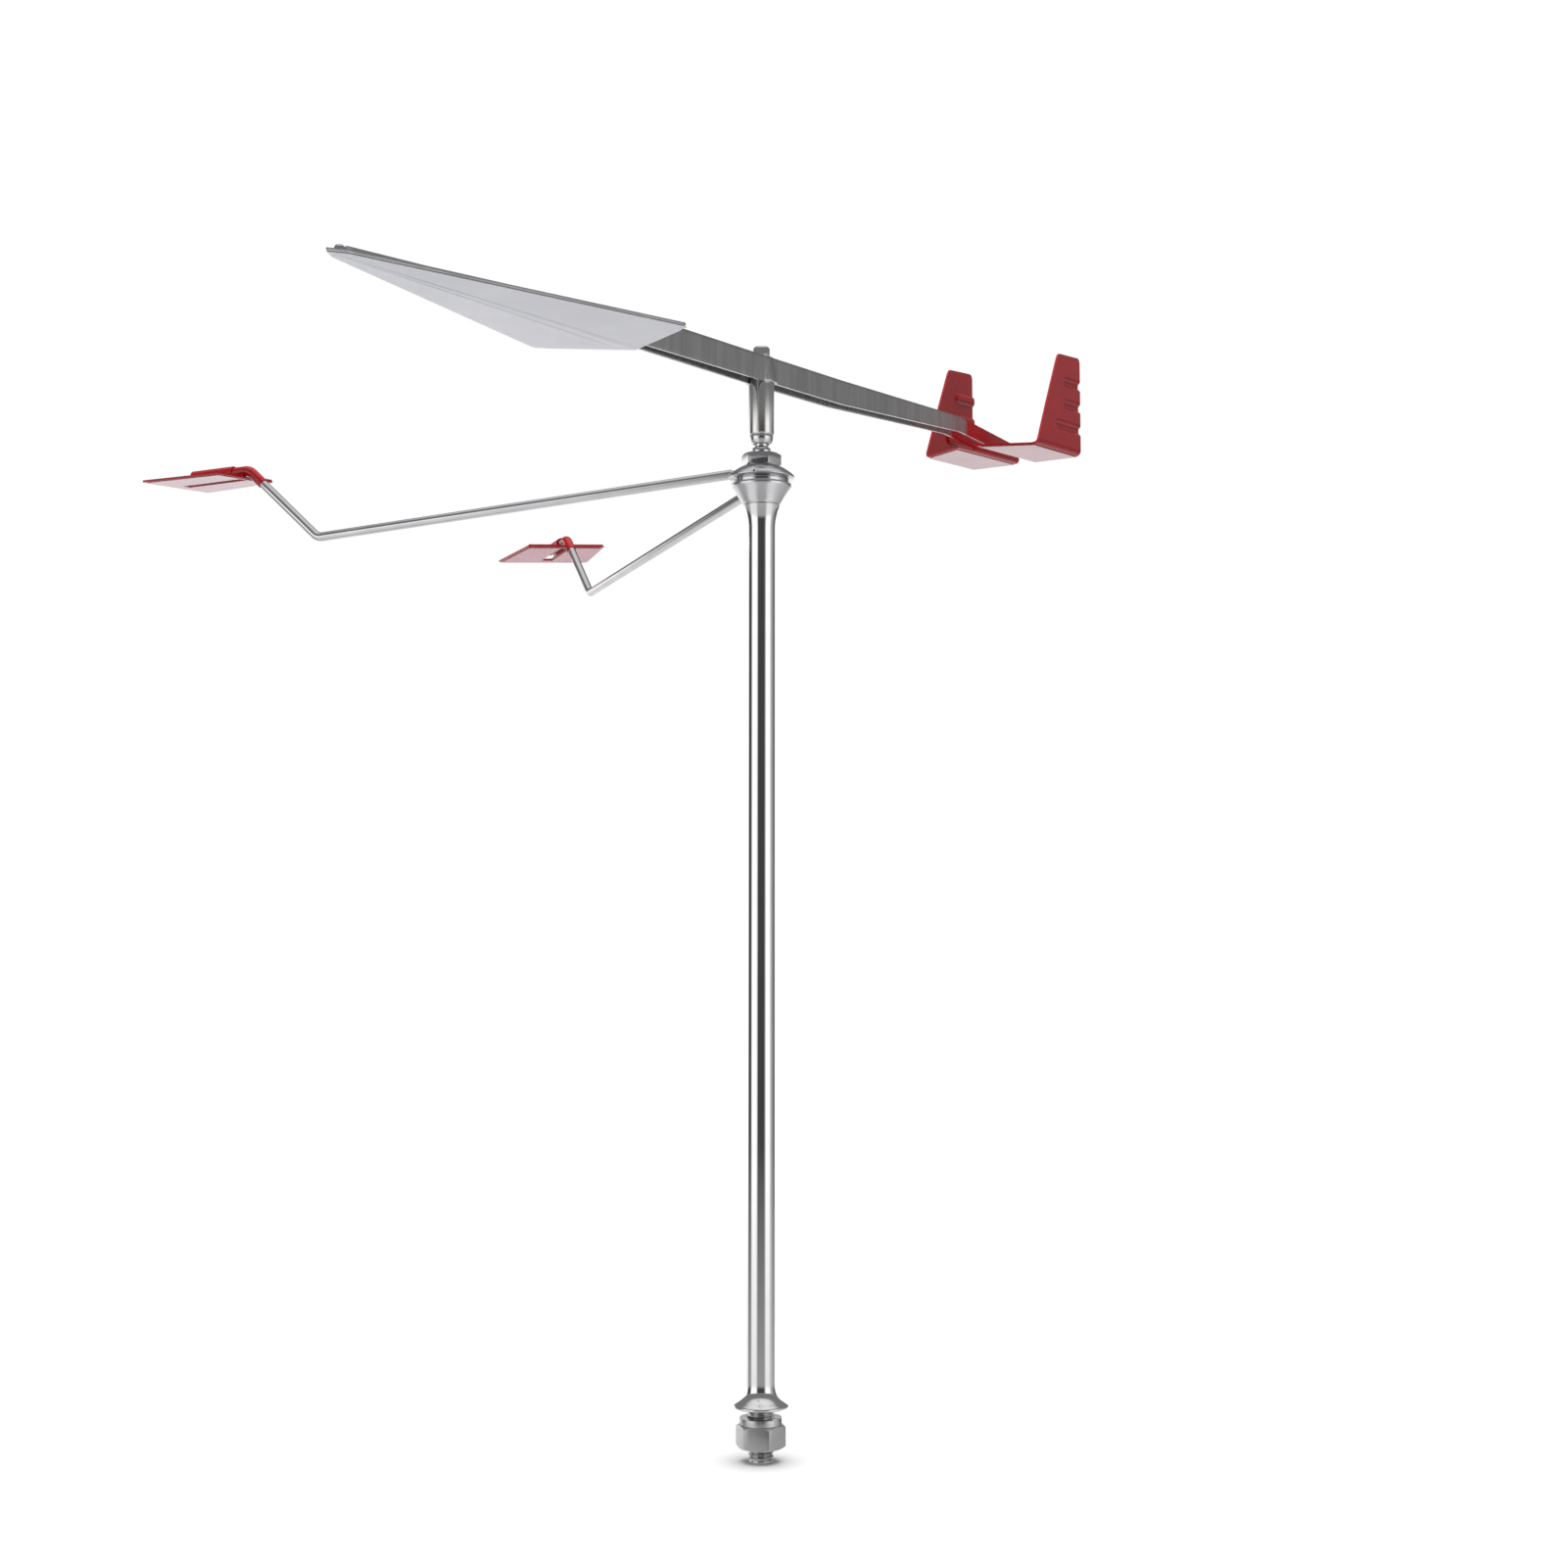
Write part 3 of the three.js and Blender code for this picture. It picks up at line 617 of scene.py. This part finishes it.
def buildAxle(look):
    low, high = bottomOf("axle"), topOf("axle")
    seat = topOf("hub_nut")
    shoulder = seat + look["collarHeight"]
    neckTop = shoulder + look["neckLength"]
    profile = [(look["radius"] - 0.4, low), (look["radius"], low + 0.4), (look["radius"], seat - 0.02),
               (look["collar"] - 0.4, seat), (look["collar"] - 0.1, seat + 0.15), (look["collar"], seat + 0.5),
               (look["collar"], shoulder - 0.9), (look["collar"] - 0.12, shoulder - 0.5),
               (look["collar"] - 0.4, shoulder - 0.18), (look["neck"] + 0.3, shoulder), (look["neck"], shoulder + 0.25),
               (look["neck"], neckTop), (look["pin"], neckTop + 0.3), (look["pin"], high - 2), (0.15, high - 0.05)]
    piece = turned("axle", profile, 96)
    return settle(piece, "axle", "mast", "polishedSteel", 40)


buildAxle(axleSet)

spindleSet = {"radius": 4.76, "nose": 3.85, "noseHeight": 4.3, "bore": 3, "cup": 2.1, "neck": 3.12, "bushTop": 5.5,
              "shoulder": 10.9}  # shoulder: where the taper starts, down from the top


def buildSpindle(look):
    low, high = bottomOf("spindle_housing"), topOf("spindle_housing")
    nose = look["nose"]
    profile = [(look["bore"], low), (nose - 0.4, low), (nose, low + 0.35), (nose + 0.38, low + 1.2),
               (nose + 0.52, low + 2), (nose + 0.56, low + 3.1), (nose + 0.5, low + 3.3), (nose + 0.72, low + 3.5),
               (look["radius"] - 0.04, low + 3.85), (look["radius"], low + look["noseHeight"]),
               (look["radius"], high - look["shoulder"]), (look["neck"], high), (look["cup"], high),
               (look["cup"], low + look["bushTop"]), (look["bore"], low + look["bushTop"]), (look["bore"], low)]
    piece = turned("spindle", profile, 128, ring=True)
    return settle(piece, "spindle_housing", "vane", "housingSteel", 25)


buildSpindle(spindleSet)

capSet = {"radius": 3.12, "round": 1.1}


def buildCap(look):
    low, high = bottomOf("spindle_cap"), topOf("spindle_cap")
    profile = [(look["radius"], low)] + dome(look["radius"], look["round"], high, 8)
    piece = turned("cap", profile, 96)
    return settle(piece, "spindle_cap", "vane", "polishedSteel", 40)


buildCap(capSet)
print("spindle turned")

# Reference arms

armSet = {"rod": 1.85, "start": 12.2, "reach": 192.6, "drop": 12.2, "riserRun": 33, "riserRise": 29.8, "over": 26.4,
          "bend": 5, "hole": 4.07, "rootRun": 3.52, "rootSteps": ((0.5, 0.78), (0.3, 0.78), (0.2, 0.95)),
          "seamTurn": 105, "seamHalf": 0.3, "sleeveWall": 0.25, "sleeveDrop": 9}
# eye: radius and height of its rim from the joint; seam: its path round the rim, in degrees of sway
arms = {
    "upper": {"turn": -79.5, "rise": 0.4, "droop": 2, "roll": -5.5, "height": jointHeight("upper_arm_swing"),
              "film": "upperTabFilm",
              "eye": [(12.2, -2.15), (12.42, -2.0), (12.5, -1.65), (12.3, -1.25), (11.5, -0.5), (10.1, 0.55),
                      (8.75, 1.45), (7.7, 2.0), (7.4, 2.15)],
              "seam": {"steps": 16, "half": 2.3, "reach": 12.5, "slope": 1.34, "slopeFrom": -1.65, "sway": (4.5, 3)}},
    "lower": {"turn": -124.4, "rise": -2.3, "droop": 3, "roll": -4, "height": jointHeight("lower_arm_swing"),
              # this tab's film colour carries painted shade and painted red bounce light
              "film": "lowerTabFilmShadeRedBounce",
              "eye": [(10.05, -1), (10.22, -0.9), (10.3, -0.6), (10.3, 0.6), (10.22, 0.9), (10.05, 1)],
              "seam": {"steps": 1, "half": 1.4, "reach": 10.35, "slope": 0, "slopeFrom": 0, "sway": (0, 0)}},
}


def armCorners(look, arm):
    root = arm["height"] + arm["rise"]
    low = root - look["drop"]
    high = low + look["riserRise"]
    tip = (look["reach"] + look["riserRun"] + look["over"] * math.cos(deg(arm["droop"])),
           high - look["over"] * math.sin(deg(arm["droop"])))
    return [Vector((x, 0, z)) for x, z in ((look["start"], root), (look["reach"], low),
                                           (look["reach"] + look["riserRun"], high), tip)]


def bentRod(name, corners, bend, radius, capped=True):
    path = [corners[0]]
    for before, corner, after in zip(corners, corners[1:], corners[2:]):
        if not bend:
            path.append(corner)
            continue
        into, out = (corner - before).normalized(), (after - corner).normalized()
        trim = bend * math.tan(into.angle(out) / 2)
        first, last = corner - into * trim, corner + out * trim
        for step in range(11):
            share = step / 10
            path.append(first * (1 - share) ** 2 + corner * 2 * share * (1 - share) + last * share ** 2)
    path.append(corners[-1])
    bpy.ops.object.select_all(action="DESELECT")
    bpy.ops.curve.primitive_bezier_curve_add()
    rod = bpy.context.object
    rod.name = name
    rod.data.splines.clear()
    line = rod.data.splines.new("POLY")
    line.points.add(len(path) - 1)
    for point, place in zip(line.points, path):
        point.co = (*(place * mm), 1)
    rod.data.dimensions = "3D"
    rod.data.bevel_depth = radius * mm
    rod.data.bevel_resolution = 10
    rod.data.use_fill_caps = capped
    pick(rod)
    bpy.ops.object.convert(target="MESH")
    return bpy.context.object


def flattenRoot(rod, look, root, height):
    pick(rod)
    bpy.ops.object.mode_set(mode="EDIT")
    bpy.ops.mesh.select_mode(type="FACE")
    bpy.ops.mesh.select_all(action="DESELECT")
    bpy.ops.object.mode_set(mode="OBJECT")
    for face in rod.data.polygons:
        face.select = face.center.x < (look["start"] + 0.15) * mm and face.normal.x < -0.9
    bpy.ops.object.mode_set(mode="EDIT")
    fall = (height - root.z) * mm
    for share, squash in look["rootSteps"]:
        bpy.ops.mesh.extrude_region_move(
            TRANSFORM_OT_translate={"value": (-look["rootRun"] * share * mm, 0, fall * share)})
        centre = Vector((look["start"] * mm, 0, root.z * mm + fall * share))
        bpy.ops.transform.resize(value=(1, 1, squash), center_override=centre)
    bpy.ops.object.mode_set(mode="OBJECT")


def buildEye(look, arm):
    hole, z, rim = look["hole"], arm["height"], arm["eye"]
    profile = [(radius, z + rise) for radius, rise in [(hole, rim[0][1]), *rim, (hole, rim[-1][1]), (hole, rim[0][1])]]
    eye = turned("eye", profile, 128, ring=True)
    # the closed end of the dished eye meets itself in an S, whose middle runs just under the surface
    cut, seamPath = arm["seam"], []
    for step in range(cut["steps"] + 1):
        share = step / cut["steps"]
        rise = cut["half"] * (2 * share - 1)
        reach = cut["reach"] - max(0, rise - cut["slopeFrom"]) * cut["slope"]
        sway = cut["sway"][0] * math.cos(math.pi * share) + cut["sway"][1] * math.sin(2 * math.pi * share)
        angle = deg(look["seamTurn"] - sway)
        seamPath.append(Vector((reach * math.cos(angle), reach * math.sin(angle), z + rise)))
    seam = bentRod("seam", seamPath, 0, look["seamHalf"])
    tidyNormals(seam)
    cutWith(eye, seam)
    return eye


def buildArm(side, look, arm):
    corners = armCorners(look, arm)
    spin = Matrix.Rotation(deg(arm["turn"]), 4, "Z")
    rod = bentRod("rod", corners, look["bend"], look["rod"])
    tidyNormals(rod)
    soften(rod, 0.3, 3, 50)
    flattenRoot(rod, look, corners[0], arm["height"])
    eye = buildEye(look, arm)
    piece = joined("arm", rod, eye)
    put(piece, spin)
    settle(piece, "arm_" + side, side + "_arm", "rodSteel", 35)

    down = (corners[1] - corners[2]).normalized()
    along = (corners[3] - corners[2]).normalized()
    sleevePath = [corners[2] + down * look["sleeveDrop"], corners[2], corners[3] - along]
    sleeve = bentRod("sleeve", sleevePath, look["bend"], look["rod"] + look["sleeveWall"], capped=False)
    tidyNormals(sleeve)
    thicken(sleeve, look["sleeveWall"] - 0.03, -1)
    soften(sleeve, 0.08, 2, 40)
    put(sleeve, spin)
    settle(sleeve, "sleeve_" + side, side + "_arm", "redPaint")
    lean = Matrix.Rotation(deg(arm["droop"]), 4, "Y") @ Matrix.Rotation(deg(arm["roll"]), 4, "X")
    return spin @ Matrix.Translation(corners[2] * mm) @ lean


tabSet = {"inner": 1.6, "outer": 37, "innerHalf": 18.8, "outerHalf": 22.6, "thick": 0.8, "lip": 0.55, "top": -2.22,
          "slotStart": 3.4, "slotEnd": 31.4, "slotHalf": 2.22, "clipWall": 0.45, "clipInset": 4, "clipFoot": 0.4,
          "lipBend": 0.7, "lipGap": 0.9, "lipInset": 0.5, "round": 1.6, "innerRound": 0.5,
          "filmInset": 1.2, "filmGap": 0.1, "filmSlot": 0.5, "film": 0.25}
sideRows, slotRows = 14, 4


def steps(*stops):
    line = [stops[0]]
    for target, count in stops[1:]:
        start = line[-1]
        line += [start + (target - start) * (number + 1) / count for number in range(count)]
    return line


def cornerPull(radius, near):
    return radius - math.sqrt(max(0, radius ** 2 - (radius - near) ** 2)) if near < radius else 0


def tabBlank(name, look, inset, height):
    inner, outer = look["inner"] + inset, look["outer"] - inset
    xs = steps(inner, (inner + look["innerRound"], 3), (look["slotStart"], 2), (look["slotEnd"], 26),
               (outer - look["round"], 4), (outer, 8))
    half = look["slotHalf"] + (look["filmSlot"] if inset else 0)
    farSide = sideRows + slotRows

    def at(column, row):
        x = xs[column]
        share = (x - look["inner"]) / (look["outer"] - look["inner"])
        edge = look["innerHalf"] + (look["outerHalf"] - look["innerHalf"]) * share - inset
        edge -= cornerPull(look["round"], outer - x) + cornerPull(look["innerRound"], x - inner)
        if row < sideRows:
            y = -half - (edge - half) * (sideRows - row) / sideRows
        elif row > farSide:
            y = half + (edge - half) * (row - farSide) / sideRows
        else:
            y = half * (2 * (row - sideRows) / slotRows - 1)
        return x, y, height

    sheet = blank(name, len(xs) - 1, farSide + sideRows, at)
    bpy.ops.object.mode_set(mode="EDIT")
    bpy.ops.mesh.select_mode(type="FACE")
    bpy.ops.mesh.select_all(action="DESELECT")
    bpy.ops.object.mode_set(mode="OBJECT")
    for face in sheet.data.polygons:
        centre = face.center / mm
        face.select = look["slotStart"] < centre.x < look["slotEnd"] and abs(centre.y) < half
    bpy.ops.object.mode_set(mode="EDIT")
    bpy.ops.mesh.delete(type="FACE")
    bpy.ops.object.mode_set(mode="OBJECT")
    return sheet


def buildTab(side, look, arm, place):
    plate = tabBlank("plate", look, 0, look["top"] - look["thick"] / 2)
    thicken(plate, look["thick"])
    radius = look["slotHalf"] + look["clipWall"] / 2
    start, end = look["slotStart"] + look["clipInset"], look["slotEnd"] - look["clipInset"]

    def arch(column, row):
        x = start + (end - start) * column / 20
        if row < 4:
            return x, -radius, (look["top"] - look["clipFoot"]) * (1 - row / 4)
        if row > 28:
            return x, radius, (look["top"] - look["clipFoot"]) * (row - 28) / 4
        angle = math.pi * (row - 4) / 24
        return x, -radius * math.cos(angle), radius * math.sin(angle)

    clip = blank("clip", 20, 32, arch)
    thicken(clip, look["clipWall"])
    lips = []
    lipStart, lipEnd, bend = radius + look["lipGap"], look["innerHalf"] - look["lipInset"], look["lipBend"]
    for hand in (-1, 1):
        def lip(column, row):
            y = hand * (lipStart + (lipEnd - lipStart) * column / 12)
            angle = math.pi / 2 * min(row, 6) / 6
            x = look["inner"] + look["thick"] / 2 + bend - bend * math.sin(angle)
            z = look["top"] - look["thick"] / 2 + bend - bend * math.cos(angle)
            if row > 6:
                z += (look["top"] + look["lip"] - z) * (row - 6) / 2
            return x, y, z
        edge = blank("lip", 12, 8, lip)
        tidyNormals(edge)
        thicken(edge, look["thick"] * 0.7)
        lips.append(edge)
    for piece in (plate, clip, *lips):
        soften(piece, 0.16, 2, 40)
    piece = joined("tab", plate, clip, *lips)
    tidyNormals(piece)
    put(piece, place)
    settle(piece, "tab_" + side, side + "_arm", "redPaint")
    below = look["top"] - look["thick"] - look["filmGap"] - look["film"] / 2
    film = tabBlank("film", look, look["filmInset"], below)
    thicken(film, look["film"])
    soften(film, 0.05, 1, 40)
    tidyNormals(film)
    put(film, place)
    settle(film, "tab_film_" + side, side + "_arm", arm["film"])


for side, arm in arms.items():
    buildTab(side, tabSet, arm, buildArm(side, armSet, arm))
print("arms bent")

# Vane; x towards the nose, z from the beam's middle

bladeSet = {"tilt": 2.58, "sheet": 0.9, "inner": 3.2, "tipInner": 0.25, "floor": -6.9, "notch": 82, "end": 226.5,
            "endHeight": 1.3, "break": 193, "breakHeight": 2.9, "topNose": 4.5, "topMid": 4.8, "lowMid": -4.8,
            "taper": 54, "neck": 158, "neckLow": 0.9, "neckTop": 7.6, "bore": 4.76, "boreTop": 3.12, "rest": 0.3,
            "wingRise": 2.5, "wingTwist": -1.7, "belowCap": 0.5}
beamHeight = topOf("spindle_housing") - bladeSet["topMid"] - bladeSet["belowCap"]
bladePlace = Matrix.Translation((0, 0, beamHeight * mm)) @ Matrix.Rotation(deg(bladeSet["tilt"]), 4, "Y")

tailSet = {"front": 171.7, "finFront": 186.9, "rear": 234.3, "half": 28, "floor": -2.6, "pitch": 1.5,
           "finTopFront": 213, "finTopRear": 237, "height": 45.4, "innerFold": 1.5, "outerFold": 2.2, "web": 2.6,
           "round": 2.6,
           "fluteLow": 11.6, "flutePitch": 10.3, "fluteHalf": 2.15, "fluteDepth": 1.05,
           "fluteLengths": (28, 19, 18.5), "topSlant": 1.2, "filmInset": 1.2, "filmGap": 0.1, "film": 0.25}


def between(points, x):
    for (x0, y0), (x1, y1) in zip(points, points[1:]):
        if x <= x1:
            return y0 + (y1 - y0) * max(0, x - x0) / (x1 - x0)
    return points[-1][1]


def pitched(x, y, z, look):
    middle = (look["front"] + look["rear"]) / 2
    c, s = math.cos(deg(look["pitch"])), math.sin(deg(look["pitch"]))
    dx, dz = x + middle, z - look["floor"]
    return dx * c + dz * s - middle, y, -dx * s + dz * c + look["floor"]


tailColumns = 60
finFoot = 30  # the last row of tailRows below the upright fin


def tailRows(look, sheet, inner):
    webY, plateZ, finY = inner + sheet / 2, look["floor"] + sheet / 2, look["half"] - sheet / 2
    fold, rows = look["innerFold"], []
    for step in range(7):
        angle = math.pi / 2 * step / 6
        rows.append((webY + fold * (1 - math.cos(angle)), plateZ + fold * (1 - math.sin(angle))))
    fold = look["outerFold"]
    start, end = rows[-1][0], finY - fold
    rows += [(start + (end - start) * step / 16, plateZ) for step in range(1, 17)]
    for step in range(1, 9):
        angle = math.pi / 2 * step / 8
        rows.append((end + fold * math.sin(angle), plateZ + fold * (1 - math.cos(angle))))
    low, high = plateZ + fold, look["floor"] + look["height"] - look["round"]
    rows += [(finY, low + (high - low) * step / 66) for step in range(1, 67)]
    rows += [(finY, high + look["round"] * math.sin(math.pi / 2 * step / 8)) for step in range(1, 9)]
    return rows


def tailEnds(y, z, look, inner):
    rise = z - look["floor"]
    front = -look["front"] - (look["finFront"] - look["front"]) * min(1, (y - inner) / (look["half"] - inner))
    rear = -look["rear"]
    if rise > 1:
        share = (rise - 1) / (look["height"] - 1)
        front = -look["finFront"] - (look["finTopFront"] - look["finFront"]) * share
        rear = -look["rear"] - (look["finTopRear"] - look["rear"]) * min(1, share)
    pull = cornerPull(look["round"], look["height"] - rise)
    return front - 0.45 * pull, rear + pull


def tailPoint(column, row, look, rows, inner):
    y, z = rows[row]
    front, rear = tailEnds(y, z, look, inner)
    x = rear + (front - rear) * column / tailColumns
    if row > finFoot:
        rise = z - look["floor"]
        forward = (x + look["finTopRear"]) / (look["finTopRear"] - look["finTopFront"])
        z -= look["topSlant"] * forward * max(0, rise / look["height"]) ** 3
        for number, length in enumerate(look["fluteLengths"]):
            across = (rise - look["fluteLow"] - number * look["flutePitch"]) / look["fluteHalf"]
            along = (x - rear - length + look["fluteHalf"]) / look["fluteHalf"]
            far = math.hypot(across, max(0, along))
            if far < 1.1:
                push = 1 if far < 0.5 else 0.5 + 0.5 * math.cos(math.pi * (far - 0.5) / 0.6)
                y -= look["fluteDepth"] * push
    return pitched(x, y, z, look)


def buildStrips(look, tail):
    rows = tailRows(tail, look["sheet"], look["inner"])
    low = [(-look["neck"], look["neckLow"]), (-look["taper"], look["lowMid"] + 0.7), (0, look["lowMid"]),
           (look["notch"], look["stripFloor"]), (look["end"], look["stripFloor"])]
    frontFloor = tailPoint(tailColumns, 0, tail, rows, look["inner"])
    low = [(frontFloor[0], frontFloor[2])] + low
    rearTop = pitched(-tail["rear"], 0, tail["floor"] + look["sheet"] + tail["web"], tail)[2]
    rearFloor = tailPoint(0, 0, tail, rows, look["inner"])[2]
    rear = -tail["rear"]
    high = [(rear, rearFloor + 0.35), (rear + 0.6, rearTop - 0.5), (rear + 1.8, rearTop - 0.1),
            (rear + 4, rearTop + 0.1), (-look["neck"], look["neckTop"]), (-look["taper"], look["topMid"] + 0.6),
            (0, look["topMid"]),
            (look["notch"] + 4, look["topNose"]), (look["break"], look["stripFloor"] + look["breakHeight"]),
            (look["end"], look["stripFloor"] + look["endHeight"])]
    xs = steps(frontFloor[0], (-look["neck"], 8), (-10, 50), (-6.5, 8), (6.5, 30), (10, 8), (look["notch"], 24),
               (look["end"], 48))
    closing = (look["inner"] - look["tipInner"]) / look["end"]

    def at(column, row):
        if column < tailColumns:
            x, y, floor = tailPoint(column, 0, tail, rows, look["inner"])
            return x, y, floor + (between(high, x) - floor) * row / 8
        x = xs[column - tailColumns]
        floor = between(low, x) if column > tailColumns else frontFloor[2]
        z = floor + (between(high, x) - floor) * row / 8
        y = look["inner"] - max(0, x) * closing + look["sheet"] / 2
        share = (z - look["lowMid"] + 1) / (look["topMid"] - look["lowMid"] + 2)
        bulge = look["bore"] + (look["boreTop"] - look["bore"]) * share + look["rest"] + look["sheet"] / 2
        if abs(x) < bulge:
            y = max(y, math.sqrt(bulge ** 2 - x ** 2))
        return x, y, z

    web = blank("web", tailColumns + len(xs) - 1, 8, at)
    tailPart = blank("tail", tailColumns, len(rows) - 1,
                     lambda column, row: tailPoint(column, row, tail, rows, look["inner"]))
    piece = joined("strip", web, tailPart)
    tidyNormals(piece)
    thicken(piece, look["sheet"])
    soften(piece, 0.14, 2, 45)
    tidyNormals(piece)
    other = mirrorCopy(piece, "otherStrip")
    for strip, node in ((piece, "strip_left"), (other, "strip_right")):
        put(strip, bladePlace)
        settle(strip, node, "vane", "paintedStrip", 40)


slope = math.tan(deg(bladeSet["wingRise"] - bladeSet["wingTwist"]))
bladeSet["stripFloor"] = (bladeSet["floor"] + bladeSet["sheet"] + bladeSet["rest"]
                          + (bladeSet["inner"] + bladeSet["sheet"]) * slope)
buildStrips(bladeSet, tailSet)
print("strips folded")


def buildTailFilms(look, blade):
    inset = look["filmInset"]
    innerY = blade["inner"] + blade["sheet"] + 0.6 + look["innerFold"] * 0.5
    outerY = look["half"] - inset - 0.6

    def at(column, row):
        y = innerY + (outerY - innerY) * row / 20
        share = (y - blade["inner"]) / (look["half"] - blade["inner"])
        front = -look["front"] - inset - (look["finFront"] - look["front"]) * share
        rear = -look["rear"] + inset
        x = rear + (front - rear) * column / 40
        return pitched(x, y, look["floor"] - look["filmGap"] - look["film"] / 2, look)

    film = blank("tailFilm", 40, 20, at)
    thicken(film, look["film"])
    soften(film, 0.05, 1, 40)
    tidyNormals(film)
    other = mirrorCopy(film, "otherFilm")
    for piece, node in ((film, "tail_film_left"), (other, "tail_film_right")):
        put(piece, bladePlace)
        settle(piece, node, "vane", "tailFilm")


buildTailFilms(tailSet, bladeSet)

wingSet = {"nose": 234, "reach": 97, "half": 32, "notch": 82, "tipHalf": 3.4, "tipLength": 5.5, "round": 2.6,
           "ridge": 0.1, "ridgeHeight": 0.3, "ridgeWidth": 0.03, "filmInset": 0.3, "filmGap": 0.1, "film": 0.25}
roundedFrom = 0.8  # share of the half width where the rear corners start to round


def wingPoint(along, across, look, blade, inset, height):
    share = abs(across)
    rearX = look["notch"] + (look["reach"] - look["notch"]) * share + inset
    rearY = (look["half"] - inset) * across
    noseX = look["nose"] - look["tipLength"] * share - inset
    noseY = (look["tipHalf"] - inset * 0.6) * across
    x, y = rearX + (noseX - rearX) * along, rearY + (noseY - rearY) * along
    if share > roundedFrom:
        pull = cornerPull(look["round"], x - rearX)
        y *= 1 - pull / look["half"] * ((share - roundedFrom) / (1 - roundedFrom)) ** 2
    crease = look["ridgeHeight"] * math.exp(-((share - look["ridge"]) / look["ridgeWidth"]) ** 2)
    z = height + abs(y) * math.tan(deg(blade["wingRise"])) + crease * min(1, along * 6, (1 - along) * 5)
    c, s = math.cos(deg(blade["wingTwist"])), math.sin(deg(blade["wingTwist"]))
    flatZ = z - blade["floor"]
    return x, y * c - flatZ * s, y * s + flatZ * c + blade["floor"]


def buildArrowhead(look, blade):
    rows = [-1 + 2 * number / 96 for number in range(97)]
    along = [0, 0.002, 0.005, 0.009, 0.014, 0.02, 0.028] + steps(0.04, (1, 60))

    def plateAt(column, row):
        return wingPoint(along[column], rows[row], look, blade, 0, blade["floor"] + blade["sheet"] / 2)

    plate = blank("arrowhead", len(along) - 1, 96, plateAt)
    thicken(plate, blade["sheet"])
    tidyNormals(plate)
    soften(plate, 0.2, 3, 45)
    put(plate, bladePlace)
    settle(plate, "arrowhead", "vane", "satinSteel", 30)

    def filmAt(column, row):
        height = blade["floor"] - look["filmGap"] - look["film"] / 2
        return wingPoint(along[column], rows[row], look, blade, look["filmInset"], height)

    film = blank("film", len(along) - 1, 96, filmAt)
    thicken(film, look["film"])
    tidyNormals(film)
    soften(film, 0.05, 1, 45)
    put(film, bladePlace)
    settle(film, "arrowhead_film", "vane", "wingFilm", 30)


buildArrowhead(wingSet, bladeSet)

rivetSet = {"radius": 1.5, "height": 1.9, "rim": 0.8, "crown": 0.3, "shank": 0.65, "inset": 5.5}


def buildRivet(look, blade):
    top = blade["floor"] + blade["sheet"] + 0.15
    profile = [(look["shank"], blade["floor"] + 0.1), (look["shank"], top), (look["radius"], top),
               (look["radius"], top + look["rim"])]
    profile += dome(look["radius"], look["radius"] - look["crown"], top + look["height"], 6, 1,
                    look["height"] - look["rim"])
    rivet = turned("rivet", profile, 48)
    put(rivet, bladePlace @ Matrix.Translation(((wingSet["nose"] - look["inset"]) * mm, 0, 0)))
    settle(rivet, "nose_rivet", "vane", "nutSteel", 40)


buildRivet(rivetSet, bladeSet)
print("vane built")

# Hidden bearing pieces keep their shape
for node, finishName in (("spindle_bush", "bushPlastic"), ("jewel_cup", "jewelStone")):
    for slotPlace in frame["nodes"][node].material_slots:
        slotPlace.material = materials[finishName]
